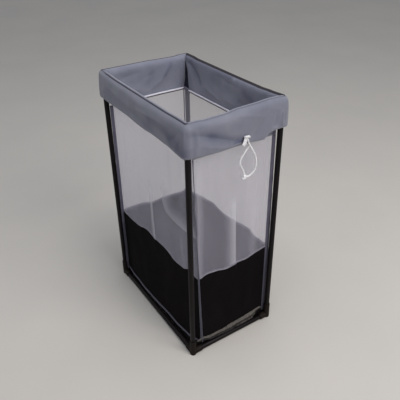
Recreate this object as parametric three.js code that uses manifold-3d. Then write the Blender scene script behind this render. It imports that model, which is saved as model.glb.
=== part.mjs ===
// Laundry hamper: a plug-together tube frame with a sheer net bag hung over its top rails.
// Millimetres, +Z up, standing on the floor at z = 0 with the origin under its centre.
// +X is the front, the short side where the drawstring comes out, and -Y is the left.
import * as THREE from 'three';
import { mergeVertices } from 'three/addons/utils/BufferGeometryUtils.js';
import Module from 'manifold-3d';

const wasm = await Module();
wasm.setup();

// Overall sizes
const ridgeHeight = 640; // floor to the top of the cloth, between the corners
const postSpacingX = 387; // between post axes, along the long sides
const postSpacingY = 241; // between post axes, along the short sides

// Frame tube and the moulded corners
const tubeDiameter = 13;
const tubeWall = 1;
const clearance = 0.3; // room round a tube in its socket, and between any two pieces
const socketWall = 1.6;
const footCut = 0.8; // depth of the flat on the underside of a corner's level legs
const uprightLeg = 38; // length of a corner's upright leg, from its rail axes
const levelLeg = 24; // length of its two level legs, from the post axis
const roundSides = 24;

// Bag cloth
const clothThickness = 1;
const wrapRoom = 0.6; // room between the cloth and the rail or corner it goes over
const netThickness = 0.8;
const hemDrop = 68; // ridge to the lower edge of the outer cuff
const bandDrop = 88; // ridge to the seam between inner band and net
const shoulderDrop = 14; // rail axis to where the cuff hangs straight
const casingHeight = 19; // height of the hem that holds the drawstring
const slitWidth = 12; // width at its foot of the slit in each corner of the inner band
const floorHeight = 22; // floor to the lower edge of the bag's walls
const netSeamHeight = 234; // floor to the seam between net and black cloth
const seamWave = 10; // how far that seam wanders up and down
const bindingWidth = 7; // bound seams that stand out at the bag's corners and foot
const bindingThickness = 1.4;
const tapeHeight = 5; // flat tape over the inside of a seam
const tapeThickness = 0.8;
const frontLeftPullTop = 7; // the bag is narrower than the frame at the front left
const frontLeftPullFloor = 16;
const backRightPull = 5;

// Drawstring
const cordDiameter = 3.6;
const cordRoom = 0.5; // room round the cord in its casing
const cordSides = 8;
const exitOffset = 12; // from the middle of the front to the buttonhole
const exitRise = 12; // hem edge to the middle of the buttonhole
const buttonholeWidth = 15;
const buttonholeHeight = 6;
const exitFlare = 26; // run in which the cord climbs from the hem to the buttonhole
const exitKnotReach = { out: 4.4, along: 8, up: 4.7 };
const endKnotReach = { out: 4.6, along: 6, up: 4.8 };
const loopDrop = 96.5; // exit knot to end knot

// Routes of the two free strands from the middle of the exit knot, as shares of loopDrop: out, along, up
const rightStrandShares = [
  [0, 0.027, -0.055], [-0.005, 0.058, -0.155], [-0.01, 0.135, -0.285], [-0.016, 0.212, -0.415],
  [-0.021, 0.269, -0.528], [-0.023, 0.301, -0.648], [-0.024, 0.305, -0.767], [-0.024, 0.282, -0.865],
  [-0.024, 0.234, -0.933], [-0.024, 0.17, -0.974], [-0.024, 0.104, -0.995], [-0.024, 0.04, -1],
];
const leftStrandShares = [
  [0, -0.029, -0.056], [-0.003, -0.046, -0.119], [-0.006, -0.048, -0.192], [-0.009, -0.035, -0.264],
  [-0.012, -0.031, -0.332], [-0.015, -0.056, -0.396], [-0.017, -0.102, -0.452], [-0.019, -0.141, -0.512],
  [-0.021, -0.153, -0.582], [-0.022, -0.135, -0.655], [-0.023, -0.097, -0.723], [-0.024, -0.06, -0.794],
  [-0.024, -0.035, -0.87], [-0.024, -0.026, -0.947],
];
const endKnotShare = [-0.024, -0.025, -1];

// Height of the net seam along each side, as shares of seamWave
const seamWaveShares = {
  left: [-0.8, -0.6, 0.3, 0.1, 0, -0.6, -0.5],
  front: [-0.5, 0, -0.4, -0.9, -0.5, 0.2, 0.6],
  right: [0.6, 0.4, 1, 0.3, 0, 0.5, -0.2],
  back: [-0.2, -0.4, -0.9, -1, -0.9, -0.9, -0.8],
};
const shoulderShares = [[0.55, 0.27], [0.88, 0.6]]; // out and down, between rail and hanging cuff

// Sizes that follow from those above
const tubeRadius = tubeDiameter / 2;
const boreRadius = (tubeRadius + clearance) / Math.cos(Math.PI / roundSides);
const cornerRadius = tubeRadius + clearance + socketWall;
const railRise = cornerRadius - footCut; // floor to the axes of the bottom rails
const socketStop = boreRadius + socketWall; // the middle of a corner to the closed end of each socket
const tubeStop = socketStop + clearance; // the middle of a corner to the end of each tube
const topRailHeight = ridgeHeight - clothThickness - wrapRoom - tubeRadius;
const bindingReach = (bindingWidth + bindingThickness) * Math.SQRT1_2 + clearance;
const wallInset = cornerRadius + clearance + bindingReach; // post axis to the bag's wall
const panelGap = clothThickness + 2 * clearance; // a wall panel stops this short of its corner
const bindingSetback = (panelGap - clearance) * Math.SQRT2 - bindingThickness / 2; // behind the corner
const hemHeight = ridgeHeight - hemDrop;
const bandSeamHeight = ridgeHeight - bandDrop;
const wrapOverTube = tubeRadius + wrapRoom + clothThickness / 2;
const wrapOverCorner = cornerRadius + wrapRoom + clothThickness / 2;
const cordRadius = cordDiameter / 2;
const hemBend = cordRadius + cordRoom + clothThickness / 2;
const cordOut = wrapOverCorner + hemBend; // post axis to the cord in the hem
const cuffOut = cordOut + hemBend; // post axis to the middle of the hanging cuff
const cuffFace = cuffOut + clothThickness / 2;
const cordHeight = hemHeight + clothThickness / 2 + hemBend;
const exitHeight = hemHeight + exitRise;
const crestSeam = clothThickness + clearance / 2; // rail axis to the seam of band and cuff

const corners = {
  back_left: { x: -postSpacingX / 2, y: -postSpacingY / 2, turn: 0, pullTop: 0, pullFloor: 0 },
  front_left: {
    x: postSpacingX / 2,
    y: -postSpacingY / 2,
    turn: Math.PI / 2,
    pullTop: frontLeftPullTop,
    pullFloor: frontLeftPullFloor,
  },
  front_right: { x: postSpacingX / 2, y: postSpacingY / 2, turn: Math.PI, pullTop: 0, pullFloor: 0 },
  back_right: {
    x: -postSpacingX / 2,
    y: postSpacingY / 2,
    turn: -Math.PI / 2,
    pullTop: backRightPull,
    pullFloor: backRightPull,
  },
};
// The sides run anticlockwise seen from above, each from one corner to the next
const sides = {
  left: { from: corners.back_left, to: corners.front_left, long: true, length: postSpacingX },
  front: { from: corners.front_left, to: corners.front_right, long: false, length: postSpacingY },
  right: { from: corners.front_right, to: corners.back_right, long: true, length: postSpacingX },
  back: { from: corners.back_right, to: corners.back_left, long: false, length: postSpacingY },
};

const tubePaint = { color: 0x1b1618, roughness: 0.38, metalness: 0.2 };
const cornerPlastic = { color: 0x1a1413, roughness: 0.5, metalness: 0 };
const greyCloth = { color: 0x6c7186, roughness: 0.75, metalness: 0 };
const whiteNet = { color: 0xd6d3da, roughness: 0.8, metalness: 0, transparent: true, opacity: 0.45 };
const blackCloth = { color: 0x171416, roughness: 0.85, metalness: 0 };
const greyBinding = { color: 0x6f6c80, roughness: 0.7, metalness: 0 };
const paleTape = { color: 0xa8a8b8, roughness: 0.75, metalness: 0 };
const whiteCord = { color: 0xece6e6, roughness: 0.7, metalness: 0 };

const lerp = THREE.MathUtils.lerp;

// One closed body: vertices merged, triangles that collapsed left out, faces pointing out
function closedBody(geometry) {
  geometry.deleteAttribute('normal');
  geometry.deleteAttribute('uv');
  const merged = mergeVertices(geometry, 1e-5);
  const points = merged.attributes.position;
  const corner = [new THREE.Vector3(), new THREE.Vector3(), new THREE.Vector3()];
  const triangles = [];
  let volume = 0;
  for (let n = 0; n < merged.index.count; n += 3) {
    const ids = [0, 1, 2].map((k) => merged.index.getX(n + k));
    if (new Set(ids).size < ids.length) continue;
    ids.forEach((id, k) => corner[k].fromBufferAttribute(points, id));
    volume += corner[0].dot(corner[1].clone().cross(corner[2]));
    triangles.push(ids);
  }
  const ordered = volume < 0 ? triangles.map(([a, b, c]) => [a, c, b]) : triangles;
  merged.setIndex(ordered.flat());
  return merged;
}

function toSolid(geometry) {
  const body = closedBody(geometry);
  const vertProperties = new Float32Array(body.attributes.position.array);
  const triVerts = new Uint32Array(body.index.array);
  return new wasm.Manifold(new wasm.Mesh({ numProp: 3, vertProperties, triVerts }));
}

function fromSolid(solid) {
  const mesh = solid.getMesh();
  const geometry = new THREE.BufferGeometry();
  geometry.setAttribute('position', new THREE.BufferAttribute(new Float32Array(mesh.vertProperties), 3));
  geometry.setIndex(new THREE.BufferAttribute(new Uint32Array(mesh.triVerts), 1));
  return geometry;
}

function addPiece(group, name, geometry, finish) {
  geometry.computeVertexNormals();
  const piece = new THREE.Mesh(geometry, new THREE.MeshStandardMaterial(finish));
  piece.name = name;
  group.add(piece);
  return piece;
}

// A solid round bar along an axis, from one distance to another
function bar(radius, axis, from, to) {
  const cylinder = new THREE.CylinderGeometry(radius, radius, to - from, roundSides);
  cylinder.translate(0, (from + to) / 2, 0);
  if (axis === 'x') cylinder.rotateZ(-Math.PI / 2);
  if (axis === 'z') cylinder.rotateX(Math.PI / 2);
  return cylinder;
}

// A length of open tube, standing up from z = 0
function tube(length) {
  const ring = new THREE.Shape().absarc(0, 0, tubeRadius, 0, 2 * Math.PI);
  ring.holes.push(new THREE.Path().absarc(0, 0, tubeRadius - tubeWall, 0, 2 * Math.PI));
  const options = { depth: length, bevelEnabled: false, curveSegments: roundSides / 2 };
  return new THREE.ExtrudeGeometry(ring, options);
}

// A three-way corner with its middle at zero: sockets for a post, up, and for two rails, along +X and +Y.
// A foot stands on the floor on a full round end; a top corner ends in a dome under the cloth.
function cornerMoulding(isFoot) {
  const dome = new THREE.SphereGeometry(cornerRadius, roundSides, roundSides / 2);
  const body = toSolid(isFoot ? bar(cornerRadius, 'z', -cornerRadius, uprightLeg) : dome)
    .add(toSolid(bar(cornerRadius, 'z', 0, uprightLeg)))
    .add(toSolid(bar(cornerRadius, 'x', 0, levelLeg)))
    .add(toSolid(bar(cornerRadius, 'y', 0, levelLeg)));
  const hollow = body
    .subtract(toSolid(bar(boreRadius, 'z', socketStop, uprightLeg + clearance)))
    .subtract(toSolid(bar(boreRadius, 'x', socketStop, levelLeg + clearance)))
    .subtract(toSolid(bar(boreRadius, 'y', socketStop, levelLeg + clearance)));
  if (!isFoot) return fromSolid(hollow);
  const belowFloor = new THREE.BoxGeometry(levelLeg * 4, levelLeg * 4, cornerRadius);
  belowFloor.translate(0, 0, -railRise - cornerRadius / 2);
  return fromSolid(hollow.subtract(toSolid(belowFloor)));
}

function buildFrame() {
  const frame = new THREE.Group();
  for (const [name, corner] of Object.entries(corners)) {
    const foot = addPiece(frame, `base_corner_${name}`, cornerMoulding(true), cornerPlastic);
    foot.position.set(corner.x, corner.y, railRise);
    foot.rotation.z = corner.turn;

    const turned = new THREE.Group();
    turned.position.set(corner.x, corner.y, topRailHeight);
    turned.rotation.z = corner.turn + Math.PI / 2;
    const top = addPiece(turned, `top_corner_${name}`, cornerMoulding(false), cornerPlastic);
    top.rotation.x = Math.PI;
    frame.add(turned);

    const post = addPiece(frame, `post_${name}`, tube(topRailHeight - railRise - 2 * tubeStop), tubePaint);
    post.position.set(corner.x, corner.y, railRise + tubeStop);
  }
  const levels = { bottom_rail: railRise, top_rail: topRailHeight };
  for (const [name, side] of Object.entries(sides)) {
    for (const [kind, height] of Object.entries(levels)) {
      const holder = new THREE.Group();
      holder.position.set(side.from.x, side.from.y, height);
      holder.rotation.z = side.from.turn;
      const rail = addPiece(holder, `${kind}_${name}`, tube(side.length - 2 * tubeStop), tubePaint);
      rail.position.x = tubeStop;
      rail.rotation.y = Math.PI / 2;
      frame.add(holder);
    }
  }
  return frame;
}

// A point beside a side: distance along it from its first post axis, out from the axes, and height
function besideSide(side, along, out, height) {
  const turn = side.from.turn;
  const x = side.from.x + Math.cos(turn) * along + Math.sin(turn) * out;
  const y = side.from.y + Math.sin(turn) * along - Math.cos(turn) * out;
  return new THREE.Vector3(x, y, height);
}

// A closed sheet: a box of columns and rows whose points are placed one by one
function sheet(columns, rows, place) {
  const slab = new THREE.BoxGeometry(1, 1, 1, columns, rows, 1);
  const points = slab.attributes.position;
  for (let n = 0; n < points.count; n += 1) {
    const column = Math.round((points.getX(n) + 1 / 2) * columns);
    const row = Math.round((points.getY(n) + 1 / 2) * rows);
    const p = place(column, row, Math.sign(points.getZ(n)));
    points.setXYZ(n, p.x, p.y, p.z);
  }
  return closedBody(slab);
}

// How far the bag's corner lies in from the post axis, along a side and across it
function cornerInset(corner, side, height) {
  const rise = THREE.MathUtils.clamp((height - floorHeight) / (bandSeamHeight - floorHeight), 0, 1);
  const pulled = wallInset + lerp(corner.pullFloor, corner.pullTop, rise);
  return side.long ? { along: wallInset, across: pulled } : { along: pulled, across: wallInset };
}

// How far a wall's outer face lies in from the post axes, straight from one bag corner to the next
function wallAcross(side, along, height) {
  const first = cornerInset(side.from, side, height);
  const last = cornerInset(side.to, side, height);
  const share = (along - first.along) / (side.length - first.along - last.along);
  return lerp(first.across, last.across, share);
}

// A point on a wall: share of the way along, height, distance out from its outer face, end gap
function wallPoint(side, share, height, out, endGap) {
  const start = cornerInset(side.from, side, height).along + endGap;
  const end = side.length - cornerInset(side.to, side, height).along - endGap;
  const along = lerp(start, end, share);
  return besideSide(side, along, out - wallAcross(side, along, height), height);
}

function seamHeightAt(name, column) {
  return netSeamHeight + seamWaveShares[name][column] * seamWave;
}

// A wall panel between two heights, each given for every column
function wallPanel(side, columns, rows, thickness, lowAt, highAt) {
  return sheet(columns, rows, (column, row, face) => {
    const height = lerp(lowAt(column), highAt(column), row / rows);
    return wallPoint(side, column / columns, height, face > 0 ? 0 : -thickness, panelGap);
  });
}

// A flat tape on the inside of a wall, centred on a seam
function seamTape(side, columns, heightAt) {
  const depth = clothThickness + clearance;
  const endGap = depth + tapeThickness + clearance;
  return sheet(columns, 1, (column, row, face) => {
    const height = heightAt(column) + (row - 1 / 2) * tapeHeight;
    return wallPoint(side, column / columns, height, face > 0 ? -depth : -depth - tapeThickness, endGap);
  });
}

// Stations along the cloth over a rail: where the corner's leg ends, the cloth settles on the tube
function railStations(side) {
  const legEnd = levelLeg + clearance;
  const settled = legEnd + tubeDiameter;
  return [
    { along: 0, wrap: wrapOverCorner },
    { along: legEnd, wrap: wrapOverCorner },
    { along: settled, wrap: wrapOverTube },
    { along: side.length / 2, wrap: wrapOverTube },
    { along: side.length - settled, wrap: wrapOverTube },
    { along: side.length - legEnd, wrap: wrapOverCorner },
    { along: side.length, wrap: wrapOverCorner },
  ];
}

// The two faces of a profile: each point moved half the cloth's thickness to either side
function thicken(profile, row, face) {
  const before = profile[Math.max(row - 1, 0)];
  const after = profile[Math.min(row + 1, profile.length - 1)];
  const run = new THREE.Vector2(after.out - before.out, after.height - before.height).normalize();
  const shift = (face * clothThickness) / 2;
  return { out: profile[row].out - run.y * shift, height: profile[row].height + run.x * shift };
}

function overRail(wrap, angle) {
  return { out: wrap * Math.sin(angle), height: topRailHeight + wrap * Math.cos(angle) };
}

// The inner band goes from the top of the rail over its inner side and down to the net.
// Its ends meet at the corner on top of the rail and draw apart further down, which leaves a slit.
function innerBand(side) {
  const stations = railStations(side);
  const seam = bandSeamHeight + clearance / 2;
  const wallShares = [0.5, 1];
  const arcAngles = [20, 45, 70, 90].map((degrees) => -THREE.MathUtils.degToRad(degrees));
  const insets = [side.from, side.to].map((corner) => cornerInset(corner, side, seam).along);
  return sheet(stations.length - 1, arcAngles.length + wallShares.length, (column, row, face) => {
    const { along, wrap } = stations[column];
    const wall = wallAcross(side, along, seam) + clothThickness / 2;
    const profile = [
      overRail(wrap, Math.asin((crestSeam - clearance / 2) / wrap)),
      ...arcAngles.map((angle) => overRail(wrap, angle)),
      ...wallShares.map((share) => ({
        out: lerp(-wrap, -wall, share),
        height: lerp(topRailHeight, seam, share),
      })),
    ];
    const point = thicken(profile, row, face);
    const down = Math.max(row - arcAngles.length, 0) / wallShares.length;
    const [start, end] = insets.map((inset) => {
      const mitre = Math.max(-point.out, 0) + clearance;
      return lerp(mitre, inset + panelGap + slitWidth / 2, down);
    });
    const ends = { 0: start, [stations.length - 1]: side.length - end };
    return besideSide(side, ends[column] ?? along, point.out, point.height);
  });
}

// The cuff's profile: over the rail, down outside, round the cord and up to the casing's seam
function cuffProfile(wrap) {
  const startAngle = Math.asin((crestSeam + clearance / 2) / wrap);
  const shoulder = overRail(wrap, THREE.MathUtils.degToRad(40));
  const hang = { out: cuffOut, height: topRailHeight - shoulderDrop };
  const bend = [0, 45, 90, 135, 180].map((degrees) => THREE.MathUtils.degToRad(degrees));
  const casingTop = hemHeight + casingHeight;
  return [
    overRail(wrap, startAngle),
    overRail(wrap, THREE.MathUtils.degToRad(22)),
    shoulder,
    ...shoulderShares.map(([out, down]) => ({
      out: lerp(shoulder.out, hang.out, out), height: lerp(shoulder.height, hang.height, down),
    })),
    hang,
    ...bend.map((angle) => ({
      out: cordOut + hemBend * Math.cos(angle), height: cordHeight - hemBend * Math.sin(angle),
    })),
    { out: wrapOverCorner, height: casingTop - 2 * hemBend },
    { out: cuffOut - clothThickness - 2 * clearance, height: casingTop },
  ];
}

// An outer cuff panel, from the diagonal seam at one corner round to the next
function cuffPanel(side) {
  const arc = [45, 22.5].map((degrees) => THREE.MathUtils.degToRad(degrees));
  const straight = railStations(side);
  const stations = [
    ...arc.map((angle) => ({ along: 0, wrap: wrapOverCorner, angle: -angle })),
    ...straight.map((station) => ({ ...station, angle: 0 })),
    ...arc.reverse().map((angle) => ({ along: side.length, wrap: wrapOverCorner, angle })),
  ];
  const rows = cuffProfile(wrapOverCorner).length - 1;
  const last = stations.length - 1;
  return sheet(last, rows, (column, row, face) => {
    const { along, wrap, angle } = stations[column];
    const point = thicken(cuffProfile(wrap), row, face);
    const seamShift = column === 0 || column === last ? clearance / 2 : 0;
    const spread = point.out * Math.sin(angle) - Math.sign(angle) * seamShift * Math.cos(angle);
    const out = point.out * Math.cos(angle) + seamShift * Math.abs(Math.sin(angle));
    return besideSide(side, along + spread, out, point.height);
  });
}

// The front cuff has a buttonhole through its outer layer, where the drawstring comes out
function frontCuff(side) {
  const hole = new THREE.BoxGeometry(buttonholeHeight, buttonholeWidth, buttonholeHeight);
  const centre = besideSide(side, side.length / 2 + exitOffset, cordOut + buttonholeHeight / 2, exitHeight);
  hole.translate(centre.x, centre.y, centre.z);
  return fromSolid(toSolid(cuffPanel(side)).subtract(toSolid(hole)));
}

// The bound seam that stands out diagonally from a bag corner, rooted between the two walls
function cornerBinding(corner) {
  const low = floorHeight + clearance;
  const high = bandSeamHeight - clearance;
  const diagonal = new THREE.Vector2(Math.sign(corner.x), Math.sign(corner.y)).multiplyScalar(Math.SQRT1_2);
  return sheet(1, 1, (column, row, face) => {
    const height = lerp(low, high, row);
    const inset = cornerInset(corner, sides.left, height);
    const x = corner.x - Math.sign(corner.x) * inset.along;
    const y = corner.y - Math.sign(corner.y) * inset.across;
    const out = lerp(-bindingSetback, bindingWidth, column);
    const shift = (face * bindingThickness) / 2;
    return new THREE.Vector3(
      x + diagonal.x * out - diagonal.y * shift,
      y + diagonal.y * out + diagonal.x * shift,
      height,
    );
  });
}

// The bound seam under the foot of a wall
function floorBinding(side) {
  return sheet(1, 1, (column, row, face) => {
    const height = floorHeight - clearance - (1 - row) * bindingWidth;
    return wallPoint(side, column, height, face > 0 ? 0 : -bindingThickness, bindingThickness + clearance);
  });
}

function bagFloor() {
  const outline = Object.values(corners).map((corner) => {
    const inset = cornerInset(corner, sides.left, floorHeight);
    return new THREE.Vector2(
      corner.x - Math.sign(corner.x) * (inset.along + panelGap),
      corner.y - Math.sign(corner.y) * (inset.across + panelGap),
    );
  });
  const options = { depth: clothThickness, bevelEnabled: false };
  const cloth = new THREE.ExtrudeGeometry(new THREE.Shape(outline), options);
  return closedBody(cloth.translate(0, 0, floorHeight));
}

function buildBag() {
  const bag = new THREE.Group();
  const columns = seamWaveShares.front.length - 1;
  const halfGap = clearance / 2;
  for (const [name, side] of Object.entries(sides)) {
    const seamAt = (column) => seamHeightAt(name, column);
    const aboveSeam = (column) => seamAt(column) + halfGap;
    const belowSeam = (column) => seamAt(column) - halfGap;
    const netTop = () => bandSeamHeight - halfGap;
    const net = wallPanel(side, columns, 2, netThickness, aboveSeam, netTop);
    const lower = wallPanel(side, columns, 1, clothThickness, () => floorHeight, belowSeam);
    addPiece(bag, `net_panel_${name}`, net, whiteNet);
    addPiece(bag, `lower_panel_${name}`, lower, blackCloth);
    addPiece(bag, `net_seam_tape_${name}`, seamTape(side, columns, seamAt), paleTape);
    addPiece(bag, `inner_band_${name}`, innerBand(side), greyCloth);
    addPiece(bag, `band_seam_tape_${name}`, seamTape(side, 1, () => bandSeamHeight), paleTape);
    addPiece(bag, `floor_binding_${name}`, floorBinding(side), greyBinding);
    addPiece(bag, `cuff_${name}`, name === 'front' ? frontCuff(side) : cuffPanel(side), greyCloth);
  }
  for (const [name, corner] of Object.entries(corners)) {
    addPiece(bag, `corner_binding_${name}`, cornerBinding(corner), greyBinding);
  }
  addPiece(bag, 'bag_floor', bagFloor(), blackCloth);
  return bag;
}

// A round cord through a list of points, one ring of points at each
function cordThrough(points) {
  const steps = points.length - 1;
  const rod = new THREE.CylinderGeometry(1, 1, 1, cordSides, steps);
  const place = rod.attributes.position;
  for (let n = 0; n < place.count; n += 1) {
    const step = Math.round((rod.parameters.height / 2 - place.getY(n)) * steps);
    const before = points[Math.max(step - 1, 0)];
    const after = points[Math.min(step + 1, steps)];
    const ahead = after.clone().sub(before).normalize();
    const level = ahead.clone().cross(new THREE.Vector3(0, 0, 1)).normalize();
    const up = level.clone().cross(ahead);
    const p = points[step].clone();
    p.addScaledVector(level, place.getX(n) * cordRadius).addScaledVector(up, place.getZ(n) * cordRadius);
    place.setXYZ(n, p.x, p.y, p.z);
  }
  return closedBody(rod);
}

// The drawstring inside the hem, all the way round from one end of the buttonhole to the other
function cordInHem() {
  const middle = sides.front.length / 2 + exitOffset;
  const halfHole = buttonholeWidth / 2 - cordDiameter;
  const halfClimb = lerp(cordHeight, exitHeight, 1 / 3);
  const cornerArc = [0, 22.5, 45, 67.5, 90].map((degrees) => THREE.MathUtils.degToRad(degrees));
  const exit = (sign) => [
    besideSide(sides.front, middle + sign * halfHole, cuffOut, exitHeight),
    besideSide(sides.front, middle + sign * (halfHole + cordDiameter), cordOut, exitHeight - cordRadius),
    besideSide(sides.front, middle + sign * (exitFlare / 2 + halfHole), cordOut, halfClimb),
    besideSide(sides.front, middle + sign * (exitFlare + halfHole), cordOut, cordHeight),
  ];
  const points = exit(1);
  for (const side of [sides.right, sides.back, sides.left, sides.front]) {
    for (const angle of cornerArc) {
      const turn = side.from.turn - Math.PI / 2 + angle;
      const x = side.from.x + Math.sin(turn) * cordOut;
      const y = side.from.y - Math.cos(turn) * cordOut;
      points.push(new THREE.Vector3(x, y, cordHeight));
    }
    if (side !== sides.front) points.push(besideSide(side, side.length / 2, cordOut, cordHeight));
  }
  return cordThrough([...points, ...exit(-1).reverse()]);
}

// A point given as shares of loopDrop from the middle of the exit knot
function besideKnot(start, shares) {
  return new THREE.Vector3(...shares).multiplyScalar(loopDrop).add(start);
}

function strand(start, route) {
  const path = new THREE.CatmullRomCurve3(route.map((shares) => besideKnot(start, shares)));
  const section = new THREE.Shape().absarc(0, 0, cordRadius, 0, 2 * Math.PI);
  const steps = Math.round(path.getLength() / (cordDiameter * 2));
  const options = { steps, extrudePath: path, curveSegments: cordSides / 2 };
  return closedBody(new THREE.ExtrudeGeometry(section, options));
}

function knot(reach) {
  return closedBody(new THREE.SphereGeometry(1, 12, 8).scale(reach.out, reach.along, reach.up));
}

function buildDrawstring() {
  const drawstring = new THREE.Group();
  const front = sides.front;
  const knotOut = cuffFace + clearance + exitKnotReach.out;
  const exit = besideSide(front, front.length / 2 + exitOffset, knotOut, exitHeight);
  addPiece(drawstring, 'cord_in_hem', cordInHem(), whiteCord);
  addPiece(drawstring, 'cord_exit_knot', knot(exitKnotReach), whiteCord).position.copy(exit);
  addPiece(drawstring, 'cord_strand_right', strand(exit, rightStrandShares), whiteCord);
  addPiece(drawstring, 'cord_strand_left', strand(exit, leftStrandShares), whiteCord);
  const end = besideKnot(exit, endKnotShare);
  addPiece(drawstring, 'cord_end_knot', knot(endKnotReach), whiteCord).position.copy(end);
  return drawstring;
}

const hamper = new THREE.Group();
hamper.add(buildFrame(), buildBag(), buildDrawstring());

export default hamper;
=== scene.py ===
import math
import bpy
from mathutils import Matrix, Vector, noise


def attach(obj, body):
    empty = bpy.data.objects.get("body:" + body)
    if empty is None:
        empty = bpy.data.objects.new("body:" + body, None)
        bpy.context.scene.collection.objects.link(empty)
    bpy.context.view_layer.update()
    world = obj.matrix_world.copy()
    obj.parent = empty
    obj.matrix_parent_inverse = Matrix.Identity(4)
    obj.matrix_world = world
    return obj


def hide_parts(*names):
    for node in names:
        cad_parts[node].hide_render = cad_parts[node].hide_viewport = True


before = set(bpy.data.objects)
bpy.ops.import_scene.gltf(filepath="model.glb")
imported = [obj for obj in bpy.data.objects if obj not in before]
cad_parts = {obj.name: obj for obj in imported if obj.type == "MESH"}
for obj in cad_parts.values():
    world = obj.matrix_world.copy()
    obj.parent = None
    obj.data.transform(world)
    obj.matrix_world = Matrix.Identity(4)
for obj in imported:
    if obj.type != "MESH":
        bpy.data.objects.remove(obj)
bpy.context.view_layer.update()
bpy.ops.object.select_all(action="DESELECT")
mm = 0.001


def lerp(a, b, share):
    return a + (b - a) * share


def clamp(value, low=0.0, high=1.0):
    return min(max(value, low), high)


def smooth(low, high, value):
    share = clamp((value - low) / (high - low))
    return share * share * (3 - 2 * share)


def along(table, place):  # value of a table of (place, value) pairs, eased between them
    if place <= table[0][0]:
        return table[0][1]
    for (p0, v0), (p1, v1) in zip(table, table[1:]):
        if place <= p1:
            return lerp(v0, v1, smooth(p0, p1, place))
    return table[-1][1]


def bell(distance, width):
    return math.exp(-((distance / width) ** 2))


def waver(x, y, z):
    return noise.noise(Vector((x, y, z)))


def upBy(height):
    return Vector((0, 0, height))


cameraSetup = {
    "place": (0.9569, -0.5854, 1.0340),
    "azimuth": 57.166,
    "elevation": 32.370,
    "roll": -0.870,
    "lens": 45.62,
    "sensor": 36,
    "nearest": 10 * mm,
}


def makeCamera(setup):
    azimuth, elevation, roll = (math.radians(setup[key]) for key in ("azimuth", "elevation", "roll"))
    level = math.cos(elevation)
    back = Vector((math.sin(azimuth) * level, -math.cos(azimuth) * level, math.sin(elevation)))
    right = (-back).cross(upBy(1)).normalized()
    up = right.cross(-back)
    tiltedRight = right * math.cos(roll) + up * math.sin(roll)
    tiltedUp = up * math.cos(roll) - right * math.sin(roll)
    turn = Matrix((tiltedRight, tiltedUp, back)).transposed().to_4x4()
    bpy.ops.object.camera_add()
    camera = bpy.context.object
    camera.matrix_world = Matrix.Translation(setup["place"]) @ turn
    camera.data.lens = setup["lens"]
    camera.data.sensor_width = setup["sensor"]
    camera.data.clip_start = setup["nearest"]
    bpy.context.scene.camera = camera


makeCamera(cameraSetup)
print("camera set")

# The frame as the solids have it, which the cloth and cord are fitted to
rack = {
    "postX": 193.5 * mm,
    "postY": 120.5 * mm,
    "tubeRadius": 6.5 * mm,
    "tubeWall": 1 * mm,
    "cornerRadius": 8.4 * mm,
    "socketRadius": 6.85 * mm,
    "lowRail": 7.6 * mm,
    "highRail": 631.9 * mm,
    "socketStop": 8.46 * mm,
    "tubeStop": 8.76 * mm,
    "legUp": 38 * mm,
    "legLevel": 24 * mm,
}
bag = {"bandSeam": 552 * mm, "foot": 22 * mm, "seam": 234 * mm, "cloth": 0.9 * mm}

# Bag corners and the free edges of their bindings: millimetres in from the post axis along X and Y, at the
# band seam and at the foot. Rise is how far the binding runs past the band seam, dark how much painted shade
# darkens its foot.
corners = {
    "back_left": {"x": -1, "y": -1, "turn": 0, "top": (10.7, 12), "foot": (4, 10.8),
                  "finTop": (7, 4.9), "finFoot": (7.5, 2.4), "rise": -1, "dark": 0.25},
    "front_left": {"x": 1, "y": -1, "turn": 90, "top": (12, 20), "foot": (9.5, 30),
                   "finTop": (6.8, 14.8), "finFoot": (3.6, 33), "rise": -1, "dark": 0.5},
    "front_right": {"x": 1, "y": 1, "turn": 180, "top": (11.5, 11.5), "foot": (10, 10.5),
                    "finTop": (6.3, 6.3), "finFoot": (9.4, -2), "rise": 22, "dark": 0.8},
    "back_right": {"x": -1, "y": 1, "turn": 270, "top": (10.4, 18), "foot": (10.4, 18),
                   "finTop": (5.3, 12.9), "finFoot": (5.3, 12.9), "rise": -1, "dark": 0.2},
}
sides = {
    "left": {"ends": ("back_left", "front_left"), "turn": 0, "length": 387 * mm},
    "front": {"ends": ("front_left", "front_right"), "turn": 90, "length": 241 * mm},
    "right": {"ends": ("front_right", "back_right"), "turn": 180, "length": 387 * mm},
    "back": {"ends": ("back_right", "back_left"), "turn": 270, "length": 241 * mm},
}


def postAxis(name, height):
    corner = corners[name]
    return Vector((corner["x"] * rack["postX"], corner["y"] * rack["postY"], height))


def sideAxes(name):  # first post axis, direction along, direction out
    turn = math.radians(sides[name]["turn"])
    start = postAxis(sides[name]["ends"][0], 0)
    return start, Vector((math.cos(turn), math.sin(turn), 0)), Vector((math.sin(turn), -math.cos(turn), 0))


def beside(name, run, out, height):
    start, ahead, outward = sideAxes(name)
    return start + ahead * run + outward * out + upBy(height)


def cornerRoot(name, height, foot="foot", top="top"):
    corner = corners[name]
    share = clamp((height - bag["foot"]) / (bag["bandSeam"] - bag["foot"]))
    insetX, insetY = (lerp(f, t, share) * mm for f, t in zip(corner[foot], corner[top]))
    return Vector((corner["x"] * (rack["postX"] - insetX), corner["y"] * (rack["postY"] - insetY), height))


def choose(*pieces):  # the first one is active
    bpy.ops.object.select_all(action="DESELECT")
    for piece in pieces:
        piece.select_set(True)
    bpy.context.view_layer.objects.active = pieces[0]


def addShape(operator, **settings):
    bpy.ops.object.select_all(action="DESELECT")
    operator(**settings)
    return bpy.context.object


def startEdit(kind):  # edit mode, with nothing selected
    bpy.ops.object.mode_set(mode="EDIT")
    bpy.ops.mesh.select_mode(type=kind)
    bpy.ops.mesh.select_all(action="DESELECT")


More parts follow.
